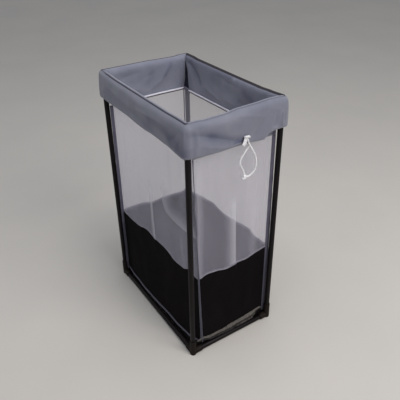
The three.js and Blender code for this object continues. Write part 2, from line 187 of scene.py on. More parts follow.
def pickFaces(piece, wanted):  # edit mode, with the wanted faces selected
    startEdit("FACE")
    bpy.ops.object.mode_set(mode="OBJECT")
    for polygon in piece.data.polygons:
        polygon.select = wanted(polygon)
    bpy.ops.object.mode_set(mode="EDIT")


def sealEnds(piece, meeting=False):  # ends that meet are joined, and others get a face
    choose(piece)
    startEdit("EDGE")
    if meeting:
        bpy.ops.mesh.select_all(action="SELECT")
        bpy.ops.mesh.remove_doubles(threshold=1e-6)
    else:
        bpy.ops.mesh.select_non_manifold()
        bpy.ops.mesh.fill_holes(sides=0)
    bpy.ops.mesh.select_all(action="SELECT")
    bpy.ops.mesh.normals_make_consistent(inside=False)
    bpy.ops.mesh.select_mode(type="VERT")
    bpy.ops.object.mode_set(mode="OBJECT")


def finishWith(piece, kind, **settings):
    choose(piece)
    modifier = piece.modifiers.new(kind.title(), kind)
    for key, value in settings.items():
        setattr(modifier, key, value)
    bpy.ops.object.modifier_apply(modifier=modifier.name)


def thicken(piece, thickness):
    finishWith(piece, "SOLIDIFY", thickness=thickness, offset=0)


def dress(piece, material, slotName, *replaced, body="bag"):
    piece.data.materials.clear()
    piece.data.materials.append(material)
    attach(piece, body)
    if replaced:
        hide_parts(*replaced)


# Rows of points become a sheet, or a tube if closed, mapped in metres along and across. A mark has a value
# for each point.
def loft(name, rows, closed=False, marks=None):
    count, wide = len(rows[0]), len(rows[0]) - (0 if closed else 1)
    middle, third = rows[len(rows) // 2], count // 3
    run, rise = [0.0], [0.0]
    for n in range(1, wide + 1):
        run.append(run[-1] + (middle[n % count] - middle[n - 1]).length)
    for n in range(1, len(rows)):
        rise.append(rise[-1] + (rows[n][third] - rows[n - 1][third]).length)
    faces, mapping = [], []
    for i in range(len(rows) - 1):
        here, above = i * count, (i + 1) * count
        for j in range(wide):
            k = (j + 1) % count
            faces.append((here + j, here + k, above + k, above + j))
            mapping += [run[j], rise[i], run[j + 1], rise[i], run[j + 1], rise[i + 1], run[j], rise[i + 1]]
    mesh = bpy.data.meshes.new(name)
    mesh.from_pydata([point for row in rows for point in row], [], faces)
    mesh.uv_layers.new(name="clothMap").data.foreach_set("uv", mapping)
    for key, table in (marks or {}).items():
        layer = mesh.attributes.new(key, "FLOAT", "POINT")
        layer.data.foreach_set("value", [value for row in table for value in row])
    mesh.validate()
    mesh.polygons.foreach_set("use_smooth", [True] * len(mesh.polygons))
    piece = bpy.data.objects.new(name, mesh)
    bpy.context.scene.collection.objects.link(piece)
    return piece


# A round rod through the points of a path
def tubeAlong(name, path, radius, sidesCount, closed=False, radiusAt=None, squash=1.0):
    last = len(path) - 1
    ring = [(math.cos(a), math.sin(a)) for a in (2 * math.pi * k / sidesCount for k in range(sidesCount))]
    rows, lift = [], upBy(1)
    for n, point in enumerate(path):
        before = path[n - 1] if closed else path[max(n - 1, 0)]
        after = path[(n + 1) % len(path)] if closed else path[min(n + 1, last)]
        ahead = (after - before).normalized()
        across = ahead.cross(lift)
        if across.length < 1e-4:
            across = Vector((1, 0, 0))
        across.normalize()
        lift = across.cross(ahead).normalized()
        size = radius * (radiusAt(n / last) if radiusAt else 1)
        rows.append([point + across * x * size + lift * y * size * squash for x, y in ring])
    if closed:
        rows.append([p.copy() for p in rows[0]])
    piece = loft(name, rows, closed=True)
    sealEnds(piece, meeting=closed)
    return piece


def curvePoints(keys, steps):  # points spread evenly on one smooth line through the keys
    fine = []
    for n in range(len(keys) - 1):
        p0, p1 = keys[max(n - 1, 0)], keys[n]
        p2, p3 = keys[n + 1], keys[min(n + 2, len(keys) - 1)]
        for k in range(12):
            t = k / 12
            fine.append(
                0.5 * ((2 * p1) + (p2 - p0) * t + (2 * p0 - 5 * p1 + 4 * p2 - p3) * t * t
                       + (3 * p1 - p0 - 3 * p2 + p3) * t * t * t)
            )
    fine.append(keys[-1].copy())
    runs = [0.0]
    for a, b in zip(fine, fine[1:]):
        runs.append(runs[-1] + (b - a).length)
    result, n = [], 0
    for k in range(steps + 1):
        goal = runs[-1] * k / steps
        while n < len(runs) - 2 and runs[n + 1] < goal:
            n += 1
        gap = runs[n + 1] - runs[n]
        result.append(fine[n].lerp(fine[n + 1], 0 if gap == 0 else min((goal - runs[n]) / gap, 1)))
    return result


def paint(red, green, blue):  # a colour as a screen shows it
    shares = (value / 255 for value in (red, green, blue))
    return (*(s / 12.92 if s <= 0.04045 else ((s + 0.055) / 1.055) ** 2.4 for s in shares), 1.0)


def paintAll(colours):
    return {key: paint(*colour) for key, colour in colours.items()}


class Board:  # a node tree with short calls for adding and joining nodes
    def __init__(self, tree):
        self.tree = tree

    def add(self, kind, **settings):
        made = self.tree.nodes.new(kind)
        for key, value in settings.items():
            setattr(made, key, value)
        return made

    def put(self, value, socket):
        if isinstance(value, bpy.types.NodeSocket):
            self.tree.links.new(value, socket)
        else:
            socket.default_value = value

    def fill(self, node, values):
        for label, value in values.items():
            self.put(value, node.inputs[label])
        return node.outputs

    def calc(self, operation, *values):
        return self.fill(self.add("ShaderNodeMath", operation=operation), dict(enumerate(values)))[0]

    def noise(self, vector, scale, detail):
        values = {"Vector": vector, "Scale": scale, "Detail": detail}
        return self.fill(self.add("ShaderNodeTexNoise"), values)["Fac"]

    def range(self, value, low, high, outLow=0.0, outHigh=1.0):
        limits = {"From Min": low, "From Max": high, "To Min": outLow, "To Max": outHigh}
        return self.fill(self.add("ShaderNodeMapRange"), {"Value": value, **limits})["Result"]

    def blend(self, share, a, b):
        return self.fill(self.add("ShaderNodeMix", data_type="RGBA"), {0: share, 6: a, 7: b})[2]

    def mix(self, share, a, b):  # of two shaders
        return self.fill(self.add("ShaderNodeMixShader"), {0: share, 1: a, 2: b})[0]

    def bump(self, height, strength, distance):
        values = {"Strength": strength, "Distance": distance, "Height": height}
        return self.fill(self.add("ShaderNodeBump"), values)["Normal"]

    def group(self, group, **values):
        return self.fill(self.add("ShaderNodeGroup", node_tree=group), values)

    def mark(self, name):
        return self.add("ShaderNodeAttribute", attribute_name=name).outputs["Fac"]


def startGroup(name, inputs, outputs):  # the group, its board, what comes in and what goes out
    group = bpy.data.node_groups.new(name, "ShaderNodeTree")
    for label, value in inputs.items():
        kind = "NodeSocketVector" if value is None else "NodeSocketFloat"
        socket = group.interface.new_socket(label, in_out="INPUT", socket_type=kind)
        if value is not None:
            socket.default_value = value
    for label in outputs:
        group.interface.new_socket(label, in_out="OUTPUT", socket_type="NodeSocketFloat")
    board = Board(group)
    return group, board, board.add("NodeGroupInput").outputs, board.add("NodeGroupOutput")


# Plain weave: height of the threads, and how open the cloth is between them
def makeThreads():
    inputs = {"Cloth": None, "Pitch": 1 * mm}
    group, board, entry, leave = startGroup("wovenThreads", inputs, ["Height", "Opening"])
    split = board.fill(board.add("ShaderNodeSeparateXYZ"), {0: entry["Cloth"]})
    ways = [board.calc("DIVIDE", split[n], entry["Pitch"]) for n in (0, 1)]
    waves = [board.calc("SINE", board.calc("MULTIPLY", way, math.pi)) for way in ways]
    crests = [board.calc("ABSOLUTE", wave) for wave in waves]
    squares = board.calc("ADD", *(board.calc("FLOOR", way) for way in ways))
    over = board.calc("ABSOLUTE", board.calc("MODULO", squares, 2.0))
    turns = over, board.calc("SUBTRACT", 1.0, over)
    shown = [board.calc("MULTIPLY", crest, turn) for crest, turn in zip(crests, turns)]
    board.fill(leave, {"Height": board.calc("ADD", *shown), "Opening": board.calc("MULTIPLY", *crests)})
    return group


# A row of thread dashes at one height on the cloth map
def makeStitches():
    inputs = {"Cloth": None, "Row": 0.0, "Pitch": 3.2 * mm, "Width": 0.5 * mm, "Share": 0.68}
    group, board, entry, leave = startGroup("stitchRow", inputs, ["Thread"])
    split = board.fill(board.add("ShaderNodeSeparateXYZ"), {0: entry["Cloth"]})
    off = board.calc("ABSOLUTE", board.calc("SUBTRACT", split[1], entry["Row"]))
    dash = board.calc("FRACT", board.calc("DIVIDE", split[0], entry["Pitch"]))
    inRow = board.calc("LESS_THAN", off, entry["Width"])
    inDash = board.calc("LESS_THAN", dash, entry["Share"])
    board.fill(leave, {"Thread": board.calc("MULTIPLY", inRow, inDash)})
    return group


# Soft creases pressed into cloth, as height and as painted shade for the colour
def makeCreases():
    inputs = {"Place": None, "Scale": 12.0}
    group, board, entry, leave = startGroup("softCreases", inputs, ["Height", "Shade"])
    broad = board.noise(entry["Place"], entry["Scale"], 2)
    ridge = board.calc("ABSOLUTE", board.calc("SUBTRACT", broad, 0.5))
    sharp = board.range(ridge, 0.0, 0.09, 1.0, 0.0)
    board.fill(leave, {
        "Height": board.calc("ADD", board.calc("MULTIPLY", sharp, 0.4), broad),
        "Shade": board.calc("ADD", board.calc("MULTIPLY", sharp, 0.25), 0.75),
    })
    return group


threadGroup, stitchGroup, creaseGroup = makeThreads(), makeStitches(), makeCreases()


def startMaterial(name):
    material = bpy.data.materials.new(name)
    material.use_nodes = True
    return material, Board(material.node_tree), material.node_tree.nodes["Principled BSDF"]


def placeOf(board, stretch=(1, 1, 1), turn=0, source=None):
    if source is None:
        source = board.add("ShaderNodeTexCoord").outputs["Object"]
    if stretch == (1, 1, 1) and not turn:
        return source
    values = {"Vector": source, "Scale": stretch, "Rotation": (0, 0, math.radians(turn))}
    return board.fill(board.add("ShaderNodeMapping"), values)["Vector"]


def clothMap(board):
    return board.add("ShaderNodeUVMap", uv_map="clothMap").outputs["UV"]


def hardMaterial(name, look):
    material, board, shader = startMaterial(name)
    place, tint = placeOf(board), paintAll(look["colours"])
    cloud = board.range(board.noise(place, look["cloudScale"], 4), 0.35, 0.7)
    scuff = board.range(board.noise(placeOf(board, look["scuffStretch"]), 60, 6), 0.66, 0.72)
    tone = board.blend(cloud, tint["new"], tint["wornAndPaintedShade"])
    board.fill(shader, {
        "Base Color": board.blend(board.calc("MULTIPLY", scuff, look["scuffShare"]), tone, tint["scuff"]),
        "Roughness": board.range(cloud, 0, 1, *look["roughness"]),
        "Normal": board.bump(board.noise(place, look["grainScale"], 2), look["grain"], 0.3 * mm),
        "Specular IOR Level": look["specular"],
    })
    return material


tubePaint = hardMaterial("blackTubePaint", {
    "colours": {"new": (13, 8, 11), "wornAndPaintedShade": (19, 13, 15), "scuff": (50, 42, 42)}, "scuffShare": 0.2,
    "cloudScale": 18, "grainScale": 900, "grain": 0.12, "roughness": (0.42, 0.56),
    "scuffStretch": (1, 1, 0.15), "specular": 0.14,
})
cornerPlastic = hardMaterial("brownBlackPlastic", {
    "colours": {"new": (17, 12, 10), "wornAndPaintedShade": (27, 19, 15), "scuff": (62, 50, 43)}, "scuffShare": 0.25,
    "cloudScale": 40, "grainScale": 1600, "grain": 0.35, "roughness": (0.55, 0.7),
    "scuffStretch": (1, 1, 1), "specular": 0.16,
})


def clothMaterial(name, look):
    material, board, shader = startMaterial(name)
    cloth, place, tint = clothMap(board), placeOf(board), paintAll(look["colours"])
    weave = board.group(threadGroup, Cloth=cloth, Pitch=look["pitch"])["Height"]
    crease = board.group(creaseGroup, Place=place, Scale=look["creaseScale"])
    cloud = board.range(board.noise(place, look["cloudScale"], 4), 0.3, 0.7)
    # The cloth's tone varies at random, and painted crease shade from the crease colour is mixed into it
    tone = board.blend(crease["Shade"], tint["crease"], board.blend(cloud, tint["cloth"], tint["faded"]))
    tone = board.blend(board.range(weave, 0.0, 0.5, look["threadShare"], 0.0), tone, tint["between"])
    height = board.calc("ADD", board.calc("MULTIPLY", weave, look["weave"]), crease["Height"])
    sheen = look["sheen"]
    # Painted shade darkens the cloth in the hollows of its folds, and painted highlight pales it on their
    # ridges
    if "hollow" in tint:
        wornAndPaintedShade = board.mark("foldShade")
        tone = board.blend(board.range(wornAndPaintedShade, 0, -1, 0, 0.75), tone, tint["hollow"])
        tone = board.blend(board.range(wornAndPaintedShade, 0, 1, 0, 0.75), tone, tint["paintedRidgeHighlight"])
    if "stitchRow" in look:
        thread = board.group(stitchGroup, Cloth=cloth, Row=look["stitchRow"])["Thread"]
        tone = board.blend(thread, tone, tint["thread"])
        height = board.calc("ADD", height, board.calc("MULTIPLY", thread, 0.8))
    # The seam mark paints dark lines with no sheen: along the crest partly the seam and partly painted shade,
    # in the hem painted shade
    if "seam" in tint:
        seam = board.mark("seamAndPaintedShade")
        tone = board.blend(board.range(seam, 0.35, 0.9), tone, tint["seam"])
        height = board.calc("SUBTRACT", height, seam)
        sheen = board.range(seam, 0.2, 0.6, sheen, 0)
    board.fill(shader, {
        "Base Color": tone, "Sheen Weight": sheen, "Specular IOR Level": look["specular"],
        "Normal": board.bump(height, look["bump"], look["depth"]),
        "Roughness": board.range(weave, 0, 1, *look["roughness"]),
    })
    return material


wovenLook = {
    "pitch": 0.9 * mm, "weave": 0.6, "threadShare": 0.35, "creaseScale": 14, "cloudScale": 9,
    "roughness": (0.72, 0.62), "sheen": 0.25, "specular": 0.25, "bump": 0.5, "depth": 0.6 * mm,
}
tapeLook = {
    "pitch": 0.6 * mm, "weave": 0.7, "threadShare": 0.35, "creaseScale": 30, "cloudScale": 30,
    "roughness": (0.75, 0.65), "sheen": 0.2, "specular": 0.25, "bump": 0.45, "depth": 0.4 * mm,
}
# The darkest and palest colours of these cloths are painted shade for fold hollows and painted highlight for
# fold ridges; the seam colour is the crest's dark line, partly the seam and partly painted shade
greyCloth = clothMaterial("greyWovenCloth", {
    **wovenLook, "stitchRow": 55 * mm,
    "colours": {"cloth": (117, 119, 134), "faded": (127, 128, 141), "crease": (98, 101, 118),
                "between": (84, 86, 102), "hollow": (56, 61, 92), "paintedRidgeHighlight": (152, 152, 168),
                "seam": (46, 44, 54), "thread": (108, 110, 125)},
})
bandCloth = clothMaterial("greyBandCloth", {
    **wovenLook, "creaseScale": 11, "cloudScale": 12, "bump": 0.55, "depth": 0.7 * mm,
    "colours": {"cloth": (121, 124, 140), "faded": (132, 134, 149), "crease": (97, 100, 117),
                "between": (82, 84, 99), "hollow": (64, 66, 92), "paintedRidgeHighlight": (154, 156, 174),
                "seam": (33, 30, 37)},
})
blackCloth = clothMaterial("blackLiningCloth", {
    **wovenLook, "pitch": 0.7 * mm, "weave": 0.4, "threadShare": 0.2, "creaseScale": 9, "cloudScale": 7,
    "roughness": (0.9, 0.8), "sheen": 0.0, "specular": 0.05, "bump": 0.35,
    "colours": {"cloth": (14, 12, 13), "faded": (20, 17, 18), "crease": (9, 8, 9), "between": (6, 5, 6)},
})
# Painted shade: a dark sheet standing in for the shade seen through the slit at the back right
slitShadeCloth = clothMaterial("slitShadeSheet", {
    **wovenLook, "pitch": 0.8 * mm, "weave": 0.5, "threadShare": 0.25, "creaseScale": 20, "cloudScale": 20,
    "roughness": (0.9, 0.8), "sheen": 0.0, "specular": 0.1, "bump": 0.4,
    "colours": {"cloth": (32, 32, 48), "faded": (44, 46, 60), "crease": (22, 21, 34),
                "between": (20, 19, 30)},
})
bindingTape = clothMaterial("greyBindingTape", {
    **tapeLook,
    "colours": {"cloth": (98, 95, 113), "faded": (110, 107, 124), "crease": (78, 75, 92),
                "between": (68, 65, 82), "hollow": (30, 28, 40), "paintedRidgeHighlight": (130, 126, 146)},
})
paleTape = clothMaterial("palePipingTape", {
    **tapeLook, "threadShare": 0.3, "creaseScale": 40, "cloudScale": 40,
    "colours": {"cloth": (214, 212, 224), "faded": (224, 222, 232), "crease": (190, 188, 202),
                "between": (170, 168, 182)},
})
# A dark cord colour, partly the seam's thread and partly painted shadow under the piping
seamAndShadowThread = clothMaterial("darkSeamThread", {
    **tapeLook, "pitch": 0.8 * mm, "weave": 0.9, "threadShare": 0.4, "creaseScale": 40, "cloudScale": 40,
    "roughness": (0.8, 0.7), "sheen": 0.0, "specular": 0.15, "bump": 0.5,
    "colours": {"cloth": (66, 62, 72), "faded": (80, 76, 86), "crease": (50, 47, 56),
                "between": (40, 37, 45)},
})
# The hem's seam colour is the painted shade of its crumples
hemTape = clothMaterial("crumpledHemTape", {
    **tapeLook, "pitch": 0.7 * mm, "weave": 0.5, "threadShare": 0.3, "creaseScale": 60, "cloudScale": 60,
    "roughness": (0.7, 0.6), "specular": 0.3, "bump": 0.5, "depth": 0.6 * mm,
    "colours": {"cloth": (85, 81, 77), "faded": (104, 99, 93), "crease": (60, 56, 56),
                "between": (60, 57, 55), "seam": (30, 27, 27)},
})


# Threads with gaps between them that light goes through, and closer where a fold doubles them
def netMaterial(name, look):
    material, board, shader = startMaterial(name)
    cloth, place, tint = clothMap(board), placeOf(board, (1, 1, 0.25)), paintAll(look["colours"])
    holes = board.group(threadGroup, Cloth=cloth, Pitch=look["pitch"])["Opening"]
    fold = board.mark("foldLine")
    drift = board.range(board.noise(place, look["driftScale"], 3), 0.3, 0.7, -1.0, 1.0)
    cover = board.range(holes, 0.15, 0.75, look["threads"], look["gaps"])
    for amount, key in ((drift, "drift"), (fold, "fold")):
        cover = board.calc("ADD", cover, board.calc("MULTIPLY", amount, look[key]))
    cover = board.calc("MINIMUM", cover, 0.95)
    board.fill(shader, {
        "Base Color": board.blend(fold, tint["net"], tint["folded"]), "Roughness": 0.75,
        "Normal": board.bump(holes, 0.3, 0.3 * mm), "Specular IOR Level": 0.15,
    })
    through = board.fill(board.add("ShaderNodeBsdfTranslucent"), {"Color": tint["through"]})[0]
    clear = board.add("ShaderNodeBsdfTransparent").outputs[0]
    threads = board.mix(look["glow"], shader.outputs[0], through)
    net = board.mix(cover, clear, threads)
    board.put(net, material.node_tree.nodes["Material Output"].inputs["Surface"])
    return material


whiteNet = netMaterial("sheerWhiteNet", {
    "pitch": 1.5 * mm, "threads": 0.47, "gaps": 0.16, "driftScale": 12, "drift": 0.04,
    "fold": 0.4, "glow": 0.35,
    "colours": {"net": (206, 202, 219), "folded": (222, 220, 230), "through": (205, 203, 216)},
})
doubledNet = netMaterial("doubledNetEdge", {
    "pitch": 1.2 * mm, "threads": 0.78, "gaps": 0.6, "driftScale": 60, "drift": 0.05,
    "fold": 0.25, "glow": 0.25,
    "colours": {"net": (196, 193, 207), "folded": (62, 54, 70), "through": (190, 188, 198)},
})


def cordMaterial(name, look):
    material, board, shader = startMaterial(name)
    tint = paintAll(look["colours"])
    slanted = placeOf(board, turn=45, source=clothMap(board))
    weave = board.group(threadGroup, Cloth=slanted, Pitch=look["pitch"])["Height"]
    dust = board.range(board.noise(placeOf(board), look["dustScale"], 4), 0.4, 0.7)
    tone = board.blend(dust, tint["cord"], tint["dusty"])
    board.fill(shader, {
        "Base Color": board.blend(board.range(weave, 0.0, 0.45, 0.22, 0.0), tone, tint["between"]),
        "Normal": board.bump(weave, 0.8, 0.4 * mm), "Roughness": 0.7, "Sheen Weight": 0.2,
        "Subsurface Weight": 0.7, "Subsurface Radius": (1, 1, 1), "Subsurface Scale": 3 * mm,
    })
    return material


whiteCord = cordMaterial("whiteBraidedCord", {
    "pitch": 0.9 * mm, "dustScale": 120,
    "colours": {"cord": (252, 250, 255), "dusty": (243, 240, 250), "between": (220, 216, 226)},
})
print("materials made")

# Strands are drawn as shares of the loop's drop, from the knot outside the buttonhole
drawstring = {
    "diameter": 3.6 * mm, "loopDrop": 96.5 * mm, "strandSteps": 48,
    "cuffFace": 15.2 * mm, "exitOffset": 12 * mm, "exitHeight": 584 * mm, "exitKnotOut": 4.7 * mm,
    "rightStrand": [
        (0, 0.027, -0.055), (-0.005, 0.058, -0.155), (-0.01, 0.135, -0.285), (-0.016, 0.212, -0.415),
        (-0.021, 0.269, -0.528), (-0.023, 0.301, -0.648), (-0.024, 0.305, -0.767), (-0.024, 0.282, -0.865),
        (-0.024, 0.234, -0.933), (-0.024, 0.17, -0.974), (-0.024, 0.104, -0.995), (-0.024, 0.04, -1),
    ],
    "leftStrand": [
        (0, 0.015, -0.056), (-0.022, 0.05, -0.13), (-0.03, 0.088, -0.2), (-0.036, 0.078, -0.262),
        (-0.034, 0.025, -0.32), (-0.028, -0.04, -0.385), (-0.022, -0.1, -0.45), (-0.019, -0.141, -0.512),
        (-0.021, -0.153, -0.582), (-0.022, -0.135, -0.655), (-0.023, -0.097, -0.723), (-0.024, -0.06, -0.794),
        (-0.024, -0.035, -0.87), (-0.024, -0.026, -0.947),
    ],
    "endKnot": (-0.024, -0.008, -0.978),
    "cordOut": 12.1 * mm, "cordHeight": 575.1 * mm,
}
exitKnotSpot = Vector((
    rack["postX"] + drawstring["cuffFace"] + drawstring["exitKnotOut"],
    drawstring["exitOffset"],
    drawstring["exitHeight"],
))
buttonholeSpot = exitKnotSpot - Vector((drawstring["exitKnotOut"], 0, 0))


def fromExit(shares):
    return exitKnotSpot + Vector(shares) * drawstring["loopDrop"]


endKnotShape = {"reach": (2.2, 5.8, 4.2), "flatness": 0.9, "turn": 70, "steps": 72, "radius": 2.2 * mm}


# A cord wound through itself in a trefoil and pulled tight
def makeEndKnot(shape):
    path, turn = [], Matrix.Rotation(math.radians(shape["turn"]), 3, "X")
    for n in range(shape["steps"]):
        a = 2 * math.pi * n / shape["steps"]
        x, y, z = math.sin(a) + 2 * math.sin(2 * a), math.cos(a) - 2 * math.cos(2 * a), -math.sin(3 * a)
        flat = Vector((z * shape["flatness"], x / 3, y / 3))
        flat.rotate(turn)
        reach = Vector([way * (size * mm) for way, size in zip(flat, shape["reach"])])
        path.append(fromExit(drawstring["endKnot"]) + reach)
    return tubeAlong("endKnot", path, shape["radius"], 10, closed=True)


exitKnotShape = {
    "turns": 1.75, "startTurn": 0.1, "steps": 60, "wide": 5.8 * mm, "deep": 2.4 * mm, "bow": 0.12,
    "spread": 1.5 * mm, "tilt": 1.2 * mm, "cross": 0.9 * mm, "swell": 1.12,
    "tails": [  # millimetres from the middle of the wrap
        [(0.4, -4.4, 0.5), (1.8, -7.4, -4.5), (2.4, -10, -9.5), (2.2, -12, -14)],
        [(0.6, -2, 0.5), (1.4, -4.4, -5.5), (1.8, -6.8, -12), (1.4, -8.6, -17.5)],
        [(0.2, 0.6, 0.5), (0.8, -1.2, -5), (1.0, -3, -10), (0.6, -4.6, -15)],
    ],
}


def tailWidth(share):
    return 0.95 + 0.22 * smooth(0.75, 0.97, share)


# The cord wrapped round itself outside its buttonhole, with short tails under the wrap
def makeExitKnot(shape):
    radius, steps, wrap = drawstring["diameter"] / 2, shape["steps"], []
    for n in range(steps + 1):
        a = 2 * math.pi * (n / steps * shape["turns"] + shape["startTurn"])
        x, y = math.sin(a), math.cos(a)
        level = shape["spread"] * (1 - 2 * n / steps) + shape["tilt"] * x - shape["cross"] * y
        bow = 1 - shape["bow"] * math.cos(2 * math.pi * n / steps)
        wrap.append(exitKnotSpot + Vector((shape["deep"] * x, shape["wide"] * bow * y, level)))
    pieces = [tubeAlong("exitKnot", wrap, radius * shape["swell"], 12)]
    for tail in shape["tails"]:
        path = curvePoints([exitKnotSpot + Vector(p) * mm for p in tail], 20)
        pieces.append(tubeAlong("tail", path, radius, 10, radiusAt=tailWidth))
    choose(*pieces)
    bpy.ops.object.join()
    return pieces[0]


def makeStrand(name):
    points = curvePoints([fromExit(share) for share in drawstring[name]], drawstring["strandSteps"])
    return tubeAlong(name, points, drawstring["diameter"] / 2, 12), points


exitKnot, endKnot = makeExitKnot(exitKnotShape), makeEndKnot(endKnotShape)
rightStrand, rightPoints = makeStrand("rightStrand")
leftStrand, leftPoints = makeStrand("leftStrand")
for piece, node in (
    (exitKnot, "cord_exit_knot"), (endKnot, "cord_end_knot"),
    (rightStrand, "cord_strand_right"), (leftStrand, "cord_strand_left"),
):
    dress(piece, whiteCord, "cord_white", node)
print("drawstring made")

tubeShape = {"sides": 48, "bore": 40 * mm, "rim": 0.25 * mm, "smoothAngle": 35}


def makeTube(name, start, end, body):
    piece = addShape(bpy.ops.mesh.primitive_cylinder_add, vertices=tubeShape["sides"],
                     radius=rack["tubeRadius"], depth=(end - start).length)
    piece.name = name
    for way in (-1, 1):  # a short bore at each end
        pickFaces(piece, lambda face: face.normal.z * way > 0.99 and len(face.vertices) > 8)
        bpy.ops.mesh.inset(thickness=rack["tubeWall"], depth=0)
        bpy.ops.mesh.extrude_region_move(TRANSFORM_OT_translate={"value": (0, 0, -way * tubeShape["bore"])})
        bpy.ops.object.mode_set(mode="OBJECT")
    finishWith(piece, "BEVEL", width=tubeShape["rim"], segments=2, limit_method="ANGLE")
    bpy.ops.object.shade_smooth_by_angle(angle=math.radians(tubeShape["smoothAngle"]))
    piece.rotation_mode = "QUATERNION"
    piece.rotation_quaternion = (end - start).to_track_quat("Z", "Y")
    piece.location = (start + end) / 2
    bpy.ops.object.transform_apply(location=True, rotation=True, scale=True)
    dress(piece, tubePaint, "tube_black", name, body=body)


low, high = rack["lowRail"] + rack["tubeStop"], rack["highRail"] - rack["tubeStop"]
for cornerName in corners:
    makeTube("post_" + cornerName, postAxis(cornerName, low), postAxis(cornerName, high), "uprights")
for sideName, side in sides.items():
    for kind, height, body in (
        ("bottom_rail_", rack["lowRail"], "base"), ("top_rail_", rack["highRail"], "top_ring"),
    ):
        runs = rack["tubeStop"], side["length"] - rack["tubeStop"]
        makeTube(kind + sideName, *(beside(sideName, run, 0, height) for run in runs), body)
print("tubes made")

# Softness is rounds of smoothing over the joins of the three legs
cornerShape = {"fineness": 0.75 * mm, "softness": 4, "sides": 48, "smoothAngle": 40}


def roundBar(radius, direction, start, end):
    piece = addShape(bpy.ops.mesh.primitive_cylinder_add, vertices=cornerShape["sides"], radius=radius,
                     depth=end - start)
    quarter = math.radians(90)
    piece.rotation_euler = {"x": (0, quarter, 0), "y": (-quarter, 0, 0), "z": (0, 0, 0)}[direction]
    piece.location["xyz".index(direction)] = (start + end) / 2
    bpy.ops.object.transform_apply(location=True, rotation=True, scale=True)
    return piece


def combine(piece, others, operation):
    for other in others:
        finishWith(piece, "BOOLEAN", object=other, operation=operation, solver="EXACT")
        bpy.data.objects.remove(other)


def makeCornerMaster(name, isFoot):
    radius, stop = rack["cornerRadius"], rack["socketStop"]
    legs = (("x", rack["legLevel"]), ("y", rack["legLevel"]), ("z", rack["legUp"]))
    if isFoot:
        piece = roundBar(radius, "z", -rack["lowRail"], rack["legUp"])
    else:
        piece = addShape(bpy.ops.mesh.primitive_uv_sphere_add, segments=cornerShape["sides"],
                         ring_count=cornerShape["sides"] // 2, radius=radius)
    combine(piece, [roundBar(radius, way, 0, length) for way, length in legs], "UNION")
    finishWith(piece, "REMESH", mode="VOXEL", voxel_size=cornerShape["fineness"], use_smooth_shade=True)
    finishWith(piece, "SMOOTH", factor=0.5, iterations=cornerShape["softness"])
    sockets = [roundBar(rack["socketRadius"], way, stop, length + 1 * mm) for way, length in legs]
    combine(piece, sockets, "DIFFERENCE")
    if isFoot:
        for vertex in piece.data.vertices:
            vertex.co.z = max(vertex.co.z, -rack["lowRail"])
    piece.name = name
    return piece


for kind, isFoot, height, body in (
    ("base_corner_", True, rack["lowRail"], "base"), ("top_corner_", False, rack["highRail"], "top_ring"),
):
    master = makeCornerMaster(kind + "master", isFoot)
    for cornerName, corner in corners.items():
        piece = master.copy()
        piece.data = master.data.copy()
        bpy.context.scene.collection.objects.link(piece)
        turn = Matrix.Rotation(math.radians(corner["turn"] + (0 if isFoot else 90)), 4, "Z")
        if not isFoot:
            turn = turn @ Matrix.Rotation(math.pi, 4, "X")
        piece.data.transform(Matrix.Translation(postAxis(cornerName, height)) @ turn)
        piece.name = kind + cornerName
        choose(piece)
        bpy.ops.object.shade_smooth_by_angle(angle=math.radians(cornerShape["smoothAngle"]))
        dress(piece, cornerPlastic, "corner_black", kind + cornerName, body=body)
    bpy.data.objects.remove(master)
print("corners made")

# Height of the net seam along each side, as share and millimetres
seamHeights = {
    "left": [(0.01, 229), (0.21, 227.5), (0.37, 239), (0.5, 233.5), (0.6, 233), (0.75, 220.5), (0.83, 225),
             (0.9, 235), (0.96, 229), (1, 229)],
    "front": [(0, 229), (0.12, 234), (0.26, 231), (0.4, 224), (0.54, 229.5), (0.69, 228.6), (0.83, 236.5),
              (1, 240)],
    "right": [(0, 244), (0.12, 242), (0.18, 253), (0.34, 244), (0.47, 239), (0.6, 248), (0.74, 242.5),
              (0.9, 232), (1, 232)],
    "back": [(0, 232), (0.07, 224), (0.36, 225), (0.55, 222), (0.75, 230), (1, 229)],
}

